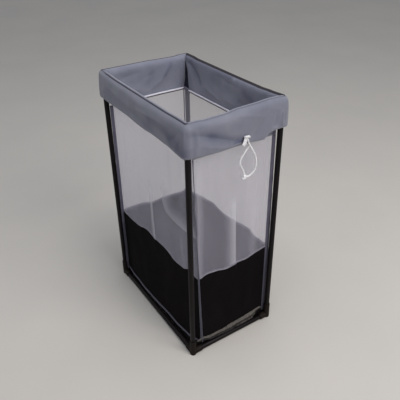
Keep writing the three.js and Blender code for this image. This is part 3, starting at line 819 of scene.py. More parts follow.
# Folds: points as share and height, width of the soft and the sharp flank, which flank is soft, depth, and
# how much the net is doubled
folds = {
    "left": [
        ([(0.47, 420), (0.475, 340), (0.475, 298), (0.48, 236)], 15, 1.6, -1, 2.6, 0.95),
        ([(0.6, 450), (0.616, 378), (0.649, 355), (0.725, 350), (0.93, 349)], 30, 1.6, 1, 2.4, 0.62),
        ([(0.675, 320), (0.7, 225)], 9, 9, 1, 1.8, 0.22),
        ([(0.8, 345), (0.824, 222)], 16, 12, 1, 2.0, 0.34),
        ([(0.93, 340), (0.95, 230)], 12, 8, 1, 1.6, 0.3),
        ([(0.274, 275), (0.28, 232)], 5, 3, 1, 1.4, 0.3),
        ([(0.05, 330), (0.06, 228)], 14, 10, -1, 1.4, 0.3),
        ([(0.3, 520), (0.33, 300)], 22, 18, 1, -2.2, 0.05),
        ([(0.82, 535), (0.84, 380)], 18, 9, 1, 1.6, 0.1),
        ([(0.14, 520), (0.12, 300)], 12, 8, 1, 1.8, 0.12),
    ],
    "front": [
        ([(0.115, 545), (0.12, 462), (0.124, 361), (0.109, 236)], 12, 3.5, 1, 2.4, 0.5),
        ([(0.05, 500), (0.05, 238)], 10, 8, 1, 1.0, 0.2),
        ([(0.535, 430), (0.542, 354), (0.557, 228)], 17, 1.6, -1, 3.0, 0.9),
        ([(0.76, 430), (0.78, 236)], 15, 12, 1, 2.0, 0.3),
        ([(0.3, 520), (0.28, 300)], 20, 16, 1, -2.4, 0.0),
        ([(0.9, 530), (0.92, 260)], 10, 7, 1, 1.6, 0.15),
    ],
    "right": [
        ([(0.25, 480), (0.28, 250)], 14, 6, 1, 2.2, 0.3),
        ([(0.6, 500), (0.57, 250)], 16, 10, -1, -2, 0.1),
        ([(0.8, 420), (0.83, 245)], 10, 5, 1, 2, 0.3),
    ],
    "back": [
        ([(0.35, 480), (0.32, 240)], 14, 6, 1, 2.2, 0.25),
        ([(0.7, 420), (0.72, 238)], 12, 8, -1, -2, 0.2),
    ],
}
blackFolds = {
    "left": [([(0.2, 200), (0.3, 60)], 22, 16, 1, -2.4, 0), ([(0.7, 210), (0.62, 70)], 26, 14, 1, 2.2, 0)],
    "front": [([(0.3, 200), (0.42, 70)], 20, 14, 1, -2.2, 0), ([(0.75, 210), (0.7, 80)], 20, 12, 1, 2.0, 0)],
    "right": [([(0.4, 200), (0.5, 60)], 24, 14, 1, 2.2, 0)],
    "back": [([(0.5, 200), (0.45, 60)], 20, 14, 1, -2.2, 0)],
}

# How far the foot of each wall bulges out from the straight line between its corners, share and millimetres
footBulge = {
    "left": [(0, 0), (0.14, 6.2), (0.34, 11.5), (0.51, 13), (0.64, 12.5), (0.78, 15), (0.9, 13.5),
             (0.95, 11.5), (0.985, 6.5), (1, 0)],
    "front": [(0, 0), (0.2, 1.2), (0.5, 1.5), (0.8, 1.2), (1, 0)],
    "right": [(0, 0), (0.3, 4), (0.6, 5), (1, 0)],
    "back": [(0, 0), (0.3, 3), (0.6, 4), (1, 0)],
}

# Waves are amount, how close they lie along and up, and a seed. Haze is how much closer the net's mesh is low
# down. A fold starts more slowly if it has a straight route.
wallShape = {
    "columns": {"left": 168, "front": 112, "right": 168, "back": 112}, "netRows": 84, "lowerRows": 48,
    "waves": [(2.2 * mm, 9, 4, 0), (1.1 * mm, 32, 9, 7)], "foldStart": (0.3, 0.18), "leastFold": 4 * mm,
    "haze": {"left": 0.22, "front": 0, "right": 0, "back": 0}, "hazeHeights": (400 * mm, 320 * mm),
    "underSeam": 1 * mm, "cornerRoom": 24 * mm, "bandHold": 0.85,
    "heldNear": 0.09, "heldUnderBand": 40 * mm, "heldOverFoot": 30 * mm, "bulgeHeight": 150 * mm,
    "foldsStop": 30 * mm, "netFoldsRunOut": 60 * mm,
}


# How far a wall's folds push it out at a spot, and how much the net is doubled there
def foldAt(table, side, share, height):
    push, mark, length = 0.0, 0.0, sides[side]["length"]
    here = Vector((share * length, height))
    for route, soft, sharp, softFlank, depth, doubled in table:
        nearest, place, turned = 1.0, 0.0, 1.0
        points = [Vector((across * length, up * mm)) for across, up in route]
        for n, first in enumerate(points[:-1]):
            step = points[n + 1] - first
            t = clamp((here - first).dot(step) / step.length_squared)
            gap = here - first - step * t
            if gap.length < nearest:
                nearest, place = gap.length, (n + t) / (len(route) - 1)
                turned = 1 if gap.x * step.y - gap.y * step.x < 0 else -1
        width = (soft if turned == softFlank else sharp) * mm
        fade = smooth(0, wallShape["foldStart"][len(route) > 2], place)
        push += depth * mm * fade * bell(nearest, max(width, wallShape["leastFold"]))
        mark = max(mark, doubled * fade * bell(nearest, width))
    return push, mark


def seamAt(side, share):
    return along(seamHeights[side], share) * mm


# A point on a wall, with the cloth's drift and folds, and how much the net is doubled there
def wallSpot(side, share, height, extra=0.0):
    first, last = (cornerRoot(name, height) for name in sides[side]["ends"])
    start, ahead, outward = sideAxes(side)
    flat = first.lerp(last, share)
    onSide = (flat - start).dot(ahead) / sides[side]["length"]
    seam = seamAt(side, share)
    if height > seam - wallShape["underSeam"]:
        push, mark = foldAt(folds[side], side, onSide, height)
        mark = max(mark, wallShape["haze"][side] * smooth(*wallShape["hazeHeights"], height))
    else:  # the black cloth has its own folds, and those of the net run out in it
        push, mark = foldAt(blackFolds[side], side, onSide, height)
        push *= smooth(seam, seam - wallShape["foldsStop"], height)
        runOut = 1 - smooth(0, wallShape["netFoldsRunOut"], seam - height)
        push += foldAt(folds[side], side, onSide, seam)[0] * runOut
    for amount, close, closeUp, seed in wallShape["waves"]:
        push += amount * waver(flat.x * close, flat.y * close, height * closeUp + seed)
    free = smooth(0, wallShape["heldNear"], share) * (1 - smooth(1 - wallShape["heldNear"], 1, share))
    underBand = smooth(bag["bandSeam"] - wallShape["heldUnderBand"], bag["bandSeam"], height)
    free *= 1 - wallShape["bandHold"] * underBand
    free *= smooth(bag["foot"] - 1 * mm, bag["foot"] + wallShape["heldOverFoot"], height)
    bulge = along(footBulge[side], share) * mm
    bulge *= 1 - smooth(0, wallShape["bulgeHeight"], height - bag["foot"])
    return flat + outward * (push * free + extra + bulge), mark


def wallShares(side):
    columns = wallShape["columns"][side]
    return [j / columns for j in range(columns + 1)]


# Rows of spots from one height to the other, and how much the net is doubled at each
def wallRows(side, count, lowAt, highAt):
    points, marks = [], []
    for i in range(count + 1):
        row = [wallSpot(side, s, lerp(lowAt(s), highAt(s), i / count)) for s in wallShares(side)]
        points.append([point for point, mark in row])
        marks.append([mark for point, mark in row])
    return points, marks


# The doubled edge of the net, sewn over the top of the black cloth: out and up from the seam in millimetres
netEdge = {
    "outline": [(0.5, -0.8), (0.55, 0.6), (0.5, 2), (0.45, 2.5), (0.4, 3.2), (0.3, 3.8),
                (-0.3, 3.8), (-0.4, 3.2), (-0.45, 2.5), (-0.5, 2), (-0.55, 0.6), (-0.5, -0.8)],
    "taller": {"left": 1, "front": 1, "right": 1.45, "back": 1.45},
    "dark": {"left": (2.4, 3.3), "front": (2.4, 3.3), "right": (1.9, 3.3), "back": (1.9, 3.3)},
}


def makeWall(side):
    net, marks = wallRows(
        side, wallShape["netRows"], lambda s: seamAt(side, s), lambda s: bag["bandSeam"] + 2 * mm)
    lower = wallRows(
        side, wallShape["lowerRows"], lambda s: bag["foot"], lambda s: seamAt(side, s) + 0.4 * mm)[0]
    netPiece = loft("net_" + side, net, marks={"foldLine": marks})
    dress(netPiece, whiteNet, "net_white", "net_panel_" + side)
    lowerPiece = loft("lining_" + side, lower)
    thicken(lowerPiece, bag["cloth"])
    dress(lowerPiece, blackCloth, "cloth_black", "lower_panel_" + side)
    ribbon, stitched, shares = [], [], wallShares(side)
    taller, (darkFrom, darkTo) = netEdge["taller"][side], netEdge["dark"][side]
    for off, rise in netEdge["outline"]:
        ribbon.append([wallSpot(side, s, seamAt(side, s) + rise * taller * mm, off * mm)[0] for s in shares])
        stitched.append([1.0 if darkFrom < rise < darkTo else 0.0] * len(shares))
    edgePiece = loft("netEdge_" + side, ribbon, marks={"foldLine": stitched})
    dress(edgePiece, doubledNet, "net_white", "net_seam_tape_" + side)


for sideName in sides:
    makeWall(sideName)

floorShape = {
    "near": [0, 0.0015, 0.003, 0.0045, 0.0065, 0.01, 0.018, 0.03, 0.06, 0.1, 0.15, 0.21, 0.28, 0.35, 0.42],
    "edgeRise": 1.2 * mm, "hangs": 15 * mm, "hangsFrom": (-0.3 * mm, 1.9 * mm), "sag": 1.8 * mm,
    "toPost": 9.8 * mm, "toRail": 8.1 * mm, "postRoom": (20 * mm, 27 * mm), "leans": (4 * mm, 40 * mm),
    "thickness": 1 * mm,
}


# The floor hangs just inside its edge, and each side's loose cloth leans out to its rail as it drops
def makeFloor(shape):
    shares = shape["near"] + [0.5] + [1 - share for share in reversed(shape["near"])]
    order = ("back_left", "front_left", "back_right", "front_right")
    roots = [cornerRoot(name, bag["foot"]) for name in order]
    wide, deep, rows = sides["left"]["length"], sides["front"]["length"], []
    for v in shares:
        row = []
        for u in shares:
            point = roots[0].lerp(roots[1], u).lerp(roots[2].lerp(roots[3], u), v)
            point.y -= along(footBulge["left"], u) * mm * (1 - v)
            point.y += along(footBulge["right"], 1 - u) * mm * v
            point.x += (along(footBulge["front"], v) * u - along(footBulge["back"], 1 - v) * (1 - u)) * mm
            alongX, alongY = min(u, 1 - u) * wide, min(v, 1 - v) * deep
            hanging = smooth(*shape["hangsFrom"], min(alongX, alongY))
            point.z += shape["edgeRise"] - shape["hangs"] * hanging
            for axis, post, sign, gap, aside in (
                (1, rack["postY"], -1, v * deep, alongX), (1, rack["postY"], 1, (1 - v) * deep, alongX),
                (0, rack["postX"], 1, (1 - u) * wide, alongY), (0, rack["postX"], -1, u * wide, alongY),
            ):
                least = lerp(shape["toPost"], shape["toRail"], smooth(*shape["postRoom"], aside))
                lean = smooth(0, 0.8, hanging) * (1 - smooth(*shape["leans"], gap))
                point[axis] += sign * max(post - sign * point[axis] - least, 0) * lean
            point.z += shape["sag"] * waver(point.x * 14, point.y * 14, 3) * hanging
            row.append(point)
        rows.append(row)
    piece = loft("bagFloor", rows)
    thicken(piece, shape["thickness"])
    dress(piece, blackCloth, "cloth_black", "bag_floor")


makeFloor(floorShape)
print("bag walls made")

# How far the crest of the bag's mouth lies from its drawn height, along each side, as share and millimetres
crest = {
    "left": [(0, 0), (0.08, -0.4), (0.2, -2.1), (0.8, -2.2), (0.93, -0.8), (1, -0.8)],
    "front": [(0, -0.8), (0.1, -0.8), (0.15, -2.4), (0.27, -2.5), (0.37, -1.6), (0.5, 2.2), (0.68, 2.8),
              (0.83, 4.6), (0.93, 4), (1, 2.5)],
    "right": [(0, 2.5), (0.1, 0), (0.2, -2), (0.45, -2.6), (0.85, -2.6), (0.93, -0.8), (1, -0.8)],
    "back": [(0, -0.8), (0.08, -0.8), (0.16, -2.5), (0.3, -1.8), (0.5, -0.2), (1, 0)],
}
crestHeights = (600 * mm, 634 * mm)  # from none of that rise to all of it
crestTop = 641 * mm  # depths in the tables below are measured from here


# How far along a line drawn as share and depth of both ends the nearest spot lies, and the distance to it
def toLine(line, side, run, depth):
    length = sides[side]["length"]
    ax, az, bx, bz = line[0] * length, line[1] * mm, line[2] * length, line[3] * mm
    dx, dz = bx - ax, bz - az
    t = clamp(((run - ax) * dx + (depth - az) * dz) / (dx * dx + dz * dz))
    return t, math.hypot(run - ax - dx * t, depth - az - dz * t)


# A table holds lines as share and depth of both ends, half width, and depth of the crease in millimetres
def creaseAt(table, side, run, depth):
    push = 0.0
    for *line, width, amount in table[side]:
        t, gap = toLine(line, side, run, depth)
        push += amount * mm * math.exp(-gap / (width * mm)) * math.sin(math.pi * (0.12 + 0.76 * t))
    return push


# A table holds lines as above, with how much painted shade darkens the grey cloth in a hollow or painted
# highlight pales it on a ridge
def shadeAt(table, side, run, depth):
    total = 0.0
    for *line, width, amount in table[side]:
        total += amount * bell(toLine(line, side, run, depth)[1], width * mm)
    return clamp(total, -1, 1)


# Waves are amount in millimetres, how unlike the sides are, how close they lie along and up, and a seed
def wavesAt(waves, side, run, height):
    start, push = sideAxes(side)[0], 0.0
    for amount, spread, close, closeUp, seed in waves:
        push += amount * waver(start.x * spread + run * close, start.y * spread + seed, height * closeUp)
    return push * mm


def crestRise(side, run, height):
    share = run / sides[side]["length"]
    return along(crest[side], share) * mm * smooth(*crestHeights, height)


# The cuff follows a section of (out, height) in millimetres, which stands out less or more at the corners
cuff = {
    "section": [
        (4.4, 642), (5.3, 640.7), (7.8, 638.2), (10.8, 634.2), (13, 627), (14.2, 612), (15.0, 595),
        (15.2, 583), (15.1, 576), (14.2, 572.8), (12.3, 571.6), (10.5, 572.8), (9.8, 576), (9.8, 581),
        (10.6, 587),
    ],
    "rows": 64, "outerRows": 48, "spacing": 3.4 * mm, "arcSteps": 7, "bulgeRoom": 60 * mm,
    "waves": [(1.5, 5, 16, 10, 1), (0.5, 5, 55, 30, 4)], "leastOut": (-2.6, -4.5),
    "cornerBulge": {"back_left": -1.8, "front_left": 0.4, "front_right": -0.6, "back_right": -1},
    "buttonhole": {"halfWidth": 5.5 * mm, "halfHeight": 2.2 * mm, "face": 206.5 * mm},
    "casing": (588 * mm, 600 * mm), "crestFade": (639 * mm, 627 * mm), "hemFade": (622 * mm, 580 * mm),
}
hemHeights = {  # how far the hem hangs from its drawn height, along each side, as share and millimetres
    "left": [(0, 4), (0.3, 4), (0.62, 2.5), (0.85, 0.5), (1, -3)],
    "front": [(0, -2.7), (0.09, -5), (0.19, -5.7), (0.32, -5.2), (0.4, -4.6), (0.5, -3.3), (0.61, -6.8),
              (0.71, -9.1), (0.765, -10), (0.79, -5), (0.815, 1.5), (0.86, 3.4), (0.9, 4.8), (1, 4.5)],
    "right": [(0, 3), (0.2, 0), (0.5, 2), (0.8, -2), (1, 1)],
    "back": [(0, 1), (0.3, -2), (0.6, 1), (1, 4)],
}
cuffCreases = {  # share and depth below the crest of both ends, half width, depth in millimetres
    "front": [(0.02, 22, 0.48, 58, 10, -4.6), (0.1, 48, 0.42, 68, 9, 2.6), (0.05, 10, 0.07, 62, 4, 2.4),
              (0.4, 66, 0.5, 52, 5, -2.6), (0.62, 62, 0.72, 34, 6, -2.2), (0.5, 12, 0.8, 30, 9, 1.8),
              (0.86, 64, 0.9, 24, 4, -2.6), (0.94, 62, 0.95, 24, 4, 2.4), (0.985, 30, 0.99, 64, 3.5, -2.6)],
    "left": [(0.1, 24, 0.42, 40, 9, 1.6), (0.5, 30, 0.85, 22, 9, 2.2), (0.84, 62, 0.97, 24, 7, -2.4),
             (0.62, 56, 1.0, 62, 15, -3.4), (0.2, 58, 0.5, 50, 12, -1.8),
             (0.93, 66, 0.985, 30, 5, 2.2), (0.02, 20, 0.08, 60, 7, 1.4), (0.3, 62, 0.6, 44, 10, -1.6)],
    "right": [(0.2, 20, 0.5, 55, 8, 1.3), (0.7, 58, 0.85, 25, 8, -1.3)],
    "back": [(0.15, 24, 0.5, 55, 8, -1.3), (0.75, 58, 0.9, 25, 7, 1.3)],
}
# Painted shade in the cuff's fold hollows and painted highlight on its ridges
cuffShades = {
    "front": [(0.0, 20, 0.23, 35, 8, -0.35), (0.2, 34, 0.5, 60, 8, -0.55), (0.15, 10, 0.6, 14, 9, 0.15),
              (0.34, 71, 0.53, 63, 4.5, -0.7), (0.62, 72, 0.8, 77, 3.5, -0.45),
              (0.96, 33, 0.955, 66, 3, -0.75), (0.88, 60, 0.93, 68, 4, 0.4), (0.005, 8, 0.005, 45, 2.4, 0.3),
              (0.06, 48, 0.065, 73, 3, 0.3), (0.03, 50, 0.03, 72, 3, -0.2), (0.43, 24, 0.47, 30, 8, -0.15)],
    "left": [(0.66, 34, 0.96, 40, 13, -0.6), (0.88, 52, 1.0, 58, 14, -0.75), (0.45, 45, 0.7, 55, 10, -0.3),
             (0.083, 44, 0.085, 62, 4, -0.3), (0.1, 38, 0.35, 46, 16, -0.28), (0.04, 15, 0.05, 40, 5, 0.2),
             (0.3, 8, 0.95, 8, 6, 0.12)],
    "right": [(0.2, 30, 0.6, 45, 9, -0.3)],
    "back": [(0.3, 30, 0.6, 45, 9, -0.3)],
}


# Round a corner the two sides' painted shades run into each other
def cuffShadeAt(side, run, angle, depth):
    own = shadeAt(cuffShades, side, run, depth)
    if not angle:
        return own
    order = list(sides)
    beyond = order[(order.index(side) + (1 if angle > 0 else -1)) % 4]
    other = shadeAt(cuffShades, beyond, 0 if angle > 0 else sides[beyond]["length"], depth)
    return lerp(own, other, abs(angle) / 90)


# How far the cuff's cloth stands out of its section, less in the casing, where the cord lies
def cuffPush(side, run, height):
    length, push = sides[side]["length"], creaseAt(cuffCreases, side, run, crestTop - height)
    for name, where in zip(sides[side]["ends"], (run, length - run)):
        push += cuff["cornerBulge"][name] * mm * (1 - smooth(0, cuff["bulgeRoom"], where))
    push += wavesAt(cuff["waves"], side, run, height)
    least = lerp(*cuff["leastOut"], smooth(*cuff["casing"], height)) * mm
    return max(push, least) * smooth(*cuff["crestFade"], height)


def hemRise(side, share):
    return along(hemHeights[side], share) * mm


def cuffStations():  # side, run along it, angle round the corner
    stations, arcSteps = [], cuff["arcSteps"]
    for side, data in sides.items():
        steps = int(data["length"] / cuff["spacing"])
        stations += [(side, 0.0, -45 + 45 * n / arcSteps) for n in range(arcSteps)]
        stations += [(side, data["length"] * n / steps, 0.0) for n in range(steps + 1)]
        stations += [(side, data["length"], 45 * n / arcSteps) for n in range(1, arcSteps)]
    return stations


def cuffPoint(key, side, run, angle):
    start, ahead, outward = sideAxes(side)
    height = key.y + crestRise(side, run, key.y)
    height += hemRise(side, run / sides[side]["length"]) * smooth(*cuff["hemFade"], key.y)
    out, turn = key.x + cuffPush(side, run, key.y), math.radians(angle)
    return start + ahead * (run + out * math.sin(turn)) + outward * (out * math.cos(turn)) + upBy(height)


# How dark the crest's line is painted: partly the seam and partly painted shade, lighter on the front
def cuffSeamAndShade(side, run, angle):  # the line where the cuff meets the band
    return 0.5 if side == "front" else smooth(0, 0.1, run / sides[side]["length"])


def inButtonhole(face):
    hole, gap = cuff["buttonhole"], face.center - buttonholeSpot
    inside = (gap.y / hole["halfWidth"]) ** 2 + (gap.z / hole["halfHeight"]) ** 2 < 1
    return inside and face.center.x > hole["face"]


def makeCuff():
    keys = [Vector((out * mm, height * mm, 0)) for out, height in cuff["section"]]
    stations, rows, seamAndShadeMarks, shades = cuffStations(), [], [], []
    for i, key in enumerate(curvePoints(keys, cuff["rows"])):
        rows.append([cuffPoint(key, *station) for station in stations])
        seamAndShadeMarks.append([cuffSeamAndShade(*station) if i < 2 else 0 for station in stations])
        depth, shown = crestTop - key.y, i < cuff["outerRows"]
        shades.append([cuffShadeAt(*station, depth) if shown else 0 for station in stations])
    piece = loft("cuff", rows, closed=True, marks={"seamAndPaintedShade": seamAndShadeMarks, "foldShade": shades})
    choose(piece)
    pickFaces(piece, inButtonhole)
    bpy.ops.mesh.delete(type="FACE")
    bpy.ops.object.mode_set(mode="OBJECT")
    thicken(piece, bag["cloth"])
    dress(piece, greyCloth, "cloth_grey", *("cuff_" + name for name in sides))


makeCuff()

# The inner band follows its section down to the band seam. Shorts are how far it stops short of the corners
# at its foot, in millimetres, and the seam is how many rows of its crest are painted dark, and how dark:
# partly the seam and partly painted shade.
band = {
    "section": [(3.9, 642), (2.2, 641.7), (-0.6, 641.6), (-4.6, 639.9), (-8.2, 636), (-9.8, 630.5),
                (-10.2, 622), (-10.6, 600)],
    "midway": (-10.6 * mm, 576 * mm), "midShare": 0.45, "footDrop": 0.5 * mm, "rows": 40, "spacing": 4 * mm,
    "waves": [(1.8, 7, 13, 12, 9), (0.8, 7, 42, 26, 3)], "crestFade": (640 * mm, 620 * mm),
    "footFade": 18 * mm, "slitTop": 628 * mm, "slitGap": 0.3 * mm, "edge": (8 * mm, 24 * mm),
    "leastEdge": -0.4 * mm,
    "shorts": {"left": (0.4, 0.4), "front": (0.4, 0.4), "right": (0.4, 27), "back": (-4, 0.4)},
    "seam": {"left": (2, 0.55), "front": (1, 0.5), "right": (4, 1), "back": (2, 0.75)},
}
bandCreases = {
    "back": [(0.22, 10, 0.36, 54, 5, -3.6), (0.36, 52, 0.52, 76, 7, -2.6), (0.1, 30, 0.2, 80, 8, 2.8),
             (0.6, 20, 0.9, 30, 10, 2.6), (0.6, 66, 0.85, 58, 12, -3), (0.45, 30, 0.58, 40, 6, 2.2)],
    "right": [(0.96, 12, 0.85, 26, 7, 4.2), (0.86, 24, 0.77, 58, 8, 4.4), (0.6, 12, 0.4, 22, 10, 2.2),
              (0.5, 64, 0.36, 70, 8, -2.2), (0.04, 64, 0.34, 56, 16, 5), (0.1, 74, 0.2, 60, 8, -2),
              (0.72, 60, 0.55, 74, 8, -2.6)],
    "left": [(0.3, 60, 0.5, 25, 10, 2.4), (0.7, 60, 0.8, 25, 9, -2.4)],
    "front": [(0.3, 60, 0.4, 25, 9, 2.4), (0.7, 60, 0.75, 25, 9, -2.4)],
}
# Painted shade in the inner band's fold hollows and painted highlight on its ridges
bandShades = {
    "back": [(0.23, 12, 0.31, 42, 5.5, -0.55), (0.45, 25, 0.52, 50, 9, -0.3), (0.6, 70, 0.35, 78, 6, 0.15),
             (0.14, 40, 0.14, 75, 6, 0.15), (0.05, 20, 0.06, 80, 5, -0.15)],
    "right": [(0.905, 12, 0.78, 54, 7, -0.6), (0.935, 24, 0.81, 84, 6, 0.35), (0.3, 26, 0.2, 46, 15, -0.75),
              (0.62, 20, 0.66, 34, 10, -0.2), (0.5, 55, 0.45, 66, 10, 0.12), (0.36, 48, 0.3, 62, 7, -0.3),
              (1.0, 4, 0.45, 4, 7, -0.75), (0.4, 3, 0.0, 3, 5, -0.35)],
    "left": [(0.3, 60, 0.5, 25, 9, -0.3)],
    "front": [(0.3, 60, 0.5, 25, 9, -0.3)],
}


def makeBand(side):
    length, (start, ahead, outward) = sides[side]["length"], sideAxes(side)
    columns, count = int(length / band["spacing"]), band["rows"]
    first, last = (cornerRoot(name, bag["bandSeam"]) - start for name in sides[side]["ends"])
    insets = (first.dot(ahead), length - last.dot(ahead))
    feet = [inset + short * mm for inset, short in zip(insets, band["shorts"][side])]
    sections, (midOut, midHeight) = [], band["midway"]
    for j in range(columns + 1):
        wall = lerp(first.dot(outward), last.dot(outward), j / columns)
        keys = [Vector((out * mm, height * mm, 0)) for out, height in band["section"]]
        keys.append(Vector((lerp(midOut, wall, band["midShare"]), midHeight, 0)))
        keys.append(Vector((wall + bag["cloth"], bag["bandSeam"] - band["footDrop"], 0)))
        sections.append(curvePoints(keys, count))
    darkRows, dark = band["seam"][side]
    rows, seamAndShadeMarks, shades = [], [], []
    for i in range(count, -1, -1):  # from the band seam up
        row, shadeRow = [], []
        for j, section in enumerate(sections):
            key = section[i]
            low = clamp((band["slitTop"] - key.y) / (band["slitTop"] - bag["bandSeam"]))
            near = max(-key.x, 0) + band["slitGap"]
            fromFirst, fromLast = (lerp(near, foot, low) for foot in feet)
            run = lerp(fromFirst, length - fromLast, j / columns)
            free = smooth(*band["crestFade"], key.y)
            free *= smooth(bag["bandSeam"], bag["bandSeam"] + band["footFade"], key.y)
            push = creaseAt(bandCreases, side, run, crestTop - key.y) * free
            push += wavesAt(band["waves"], side, run, key.y) * free
            edge = smooth(*band["edge"], min(run - fromFirst, length - fromLast - run))
            push = lerp(max(push, band["leastEdge"]), push, edge)
            height = key.y + crestRise(side, run, key.y)
            row.append(start + ahead * run + outward * (key.x + push) + upBy(height))
            shadeRow.append(shadeAt(bandShades, side, run, crestTop - key.y))
        rows.append(row)
        shades.append(shadeRow)
        seamAndShadeMarks.append([dark if i < darkRows else 0] * (columns + 1))
    piece = loft("innerBand_" + side, rows, marks={"seamAndPaintedShade": seamAndShadeMarks, "foldShade": shades})
    thicken(piece, bag["cloth"])
    dress(piece, bandCloth, "cloth_grey", "inner_band_" + side)


for sideName in sides:
    makeBand(sideName)
print("cuff and bands made")

# Two cords lie along the band seam: the pale piping above it, and below it a dark cord, partly the seam and
# partly painted shadow under the piping
piping = {
    "bandPiping_": {"rise": 2.8 * mm, "radius": 2.2 * mm, "material": paleTape},
    "bandSeamAndShadow_": {"rise": -0.9 * mm, "radius": 1 * mm, "material": seamAndShadowThread},
    "inside": 1.7 * mm, "spacing": 4 * mm,
    "shares": {"left": (0.03, 0.97), "front": (0.04, 0.96), "right": (0.03, 0.92), "back": (0.01, 0.97)},
}


def makePiping(side):
    steps = int(sides[side]["length"] / piping["spacing"])
    for name, nodes in (("bandPiping_", ["band_seam_tape_" + side]), ("bandSeamAndShadow_", [])):
        cord, points = piping[name], []
        for n in range(steps + 1):
            share = lerp(*piping["shares"][side], n / steps)
            spot = wallSpot(side, share, bag["bandSeam"], -piping["inside"])[0]
            spot.z += cord["rise"] + 0.5 * mm * waver(spot.x * 30, spot.y * 30, 5)
            points.append(spot)
        piece = tubeAlong(name + side, points, cord["radius"], 10)
        dress(piece, cord["material"], "binding_grey", *nodes)


for sideName in sides:
    makePiping(sideName)

cornerBinding = {
    "outline": [(-0.08, 0.8), (0.3, 0.95), (0.8, 0.85), (0.95, 0.5), (1, 0), (0.95, -0.5), (0.8, -0.85),
                (0.3, -0.95), (-0.08, -0.8)],
    "below": 3 * mm, "sway": 1.1 * mm, "steps": 120, "shaded": (300 * mm, 150 * mm),
}


def makeCornerBinding(name):
    corner, outline, rows, shades = corners[name], cornerBinding["outline"], [], []
    low, high = bag["foot"] - cornerBinding["below"], bag["bandSeam"] + corner["rise"] * mm
    for n in range(cornerBinding["steps"] + 1):
        height = lerp(low, high, n / cornerBinding["steps"])
        root = cornerRoot(name, height)
        fin = cornerRoot(name, height, "finFoot", "finTop") - root
        across = Vector((-fin.y, fin.x, 0)).normalized()
        sway = waver(corner["x"] * 3, corner["y"] * 5, height * 22) * cornerBinding["sway"]
        wide = 1 + 0.07 * waver(corner["x"] * 9, corner["y"] * 2, height * 40)
        rows.append([root + fin * out * wide + across * (side * mm + sway * out) for out, side in outline])
        # The binding is painted darker towards its foot, as painted shade
        shades.append([-corner["dark"] * smooth(*cornerBinding["shaded"], height)] * len(outline))
    piece = loft("cornerBinding_" + name, rows, closed=True, marks={"foldShade": shades})
    sealEnds(piece)
    dress(piece, bindingTape, "binding_grey", "corner_binding_" + name)


for cornerName in corners:
    makeCornerBinding(cornerName)

# The slit at the back right: a dark sheet behind it as painted shade, and the tape across its foot. Each
# starts above the band's seam, lies at its depth and runs a little past the slit.
slit = {
    "widths": (27 * mm, 0), "top": 624 * mm, "topWidth": 3 * mm,
    "insets": [(600 * mm, 10.6), (630 * mm, 9.8)],
    "lining": {"above": 2 * mm, "depth": -1.6 * mm, "past": 5 * mm, "rows": 20, "columns": 24,
               "thickness": 0.8 * mm},
    "tape": {"above": 3 * mm, "depth": 0.6 * mm, "past": 9 * mm, "columns": 8, "steps": 44,
             "radius": 1.2 * mm, "facets": 12, "squash": 4},
}


def slitRow(height, part):  # from one band's end to the other's
    full, (insetX, insetY) = slit["insets"][-1][0], corners["back_right"]["top"]
    share, row = max((height - bag["bandSeam"]) / (full - bag["bandSeam"]), 0), []
    for n in range(part["columns"] + 1):
        point, place = postAxis("back_right", height), 2 * n / part["columns"] - 1
        ways = (Vector((1, 0, 0)), insetX, -place), (Vector((0, -1, 0)), insetY, place)
        for (way, inset, side), width in zip(ways, slit["widths"]):
            off = along([(bag["bandSeam"], inset)] + slit["insets"], height) * mm + part["depth"]
            point += way * (off + lerp(width + part["past"], slit["topWidth"], share) * max(side, 0))
        row.append(point)
    return row


def makeSlit():
    lining, tape, rows = slit["lining"], slit["tape"], []
    for i in range(lining["rows"] + 1):
        height = lerp(bag["bandSeam"] + lining["above"], slit["top"], i / lining["rows"])
        rows.append(slitRow(height, lining))
    piece = loft("slitShade_back_right", rows)
    thicken(piece, lining["thickness"])
    dress(piece, slitShadeCloth, "cloth_black")
    path = curvePoints(slitRow(bag["bandSeam"] + tape["above"], tape), tape["steps"])
    piece = tubeAlong("slitTape_back_right", path, tape["radius"], tape["facets"], squash=tape["squash"])
    dress(piece, bindingTape, "binding_grey")


makeSlit()

# The binding along the foot of a wall; its outline is in shares of the thickness and height
plainFoot = {
    "outline": [(0.6, 1), (1.0, 0.6), (0.95, 0.3), (0.6, 0),
                (-0.6, 0), (-0.95, 0.3), (-1.0, 0.6), (-0.6, 1)],
    "over": 3.4 * mm, "height": 7.2 * mm, "thickness": 1 * mm, "off": 0.9 * mm, "lean": 0.8 * mm,
    "sway": 0.6 * mm, "spacing": 3 * mm, "shade": -0.7,
}


def makeFloorBinding(side):
    outline, outward, rows = plainFoot["outline"], sideAxes(side)[2], []
    steps = int(sides[side]["length"] / plainFoot["spacing"])
    for n in range(steps + 1):
        share = n / steps
        root = wallSpot(side, share, bag["foot"] + plainFoot["over"])[0]
        height = plainFoot["height"] * (0.55 + 0.45 * math.sin(math.pi * clamp(share, 0.02, 0.98)) ** 0.5)
        height *= 1 + 0.15 * waver(share * 19, 2, 5)
        sway = plainFoot["sway"] * waver(share * 30, 8, 1)
        row = []
        for wide, rise in outline:
            out = plainFoot["off"] + wide * plainFoot["thickness"] + (sway + plainFoot["lean"]) * (1 - rise)
            row.append(root + outward * out + upBy(-height * (1 - rise)))
        rows.append(row)
    # The whole foot binding is painted darker, as painted shade
    shades = [[plainFoot["shade"]] * len(outline)] * len(rows)
    piece = loft("footBinding_" + side, rows, closed=True, marks={"foldShade": shades})
    sealEnds(piece)
    dress(piece, bindingTape, "binding_grey", "floor_binding_" + side)


for sideName in ("left", "right", "back"):
    makeFloorBinding(sideName)

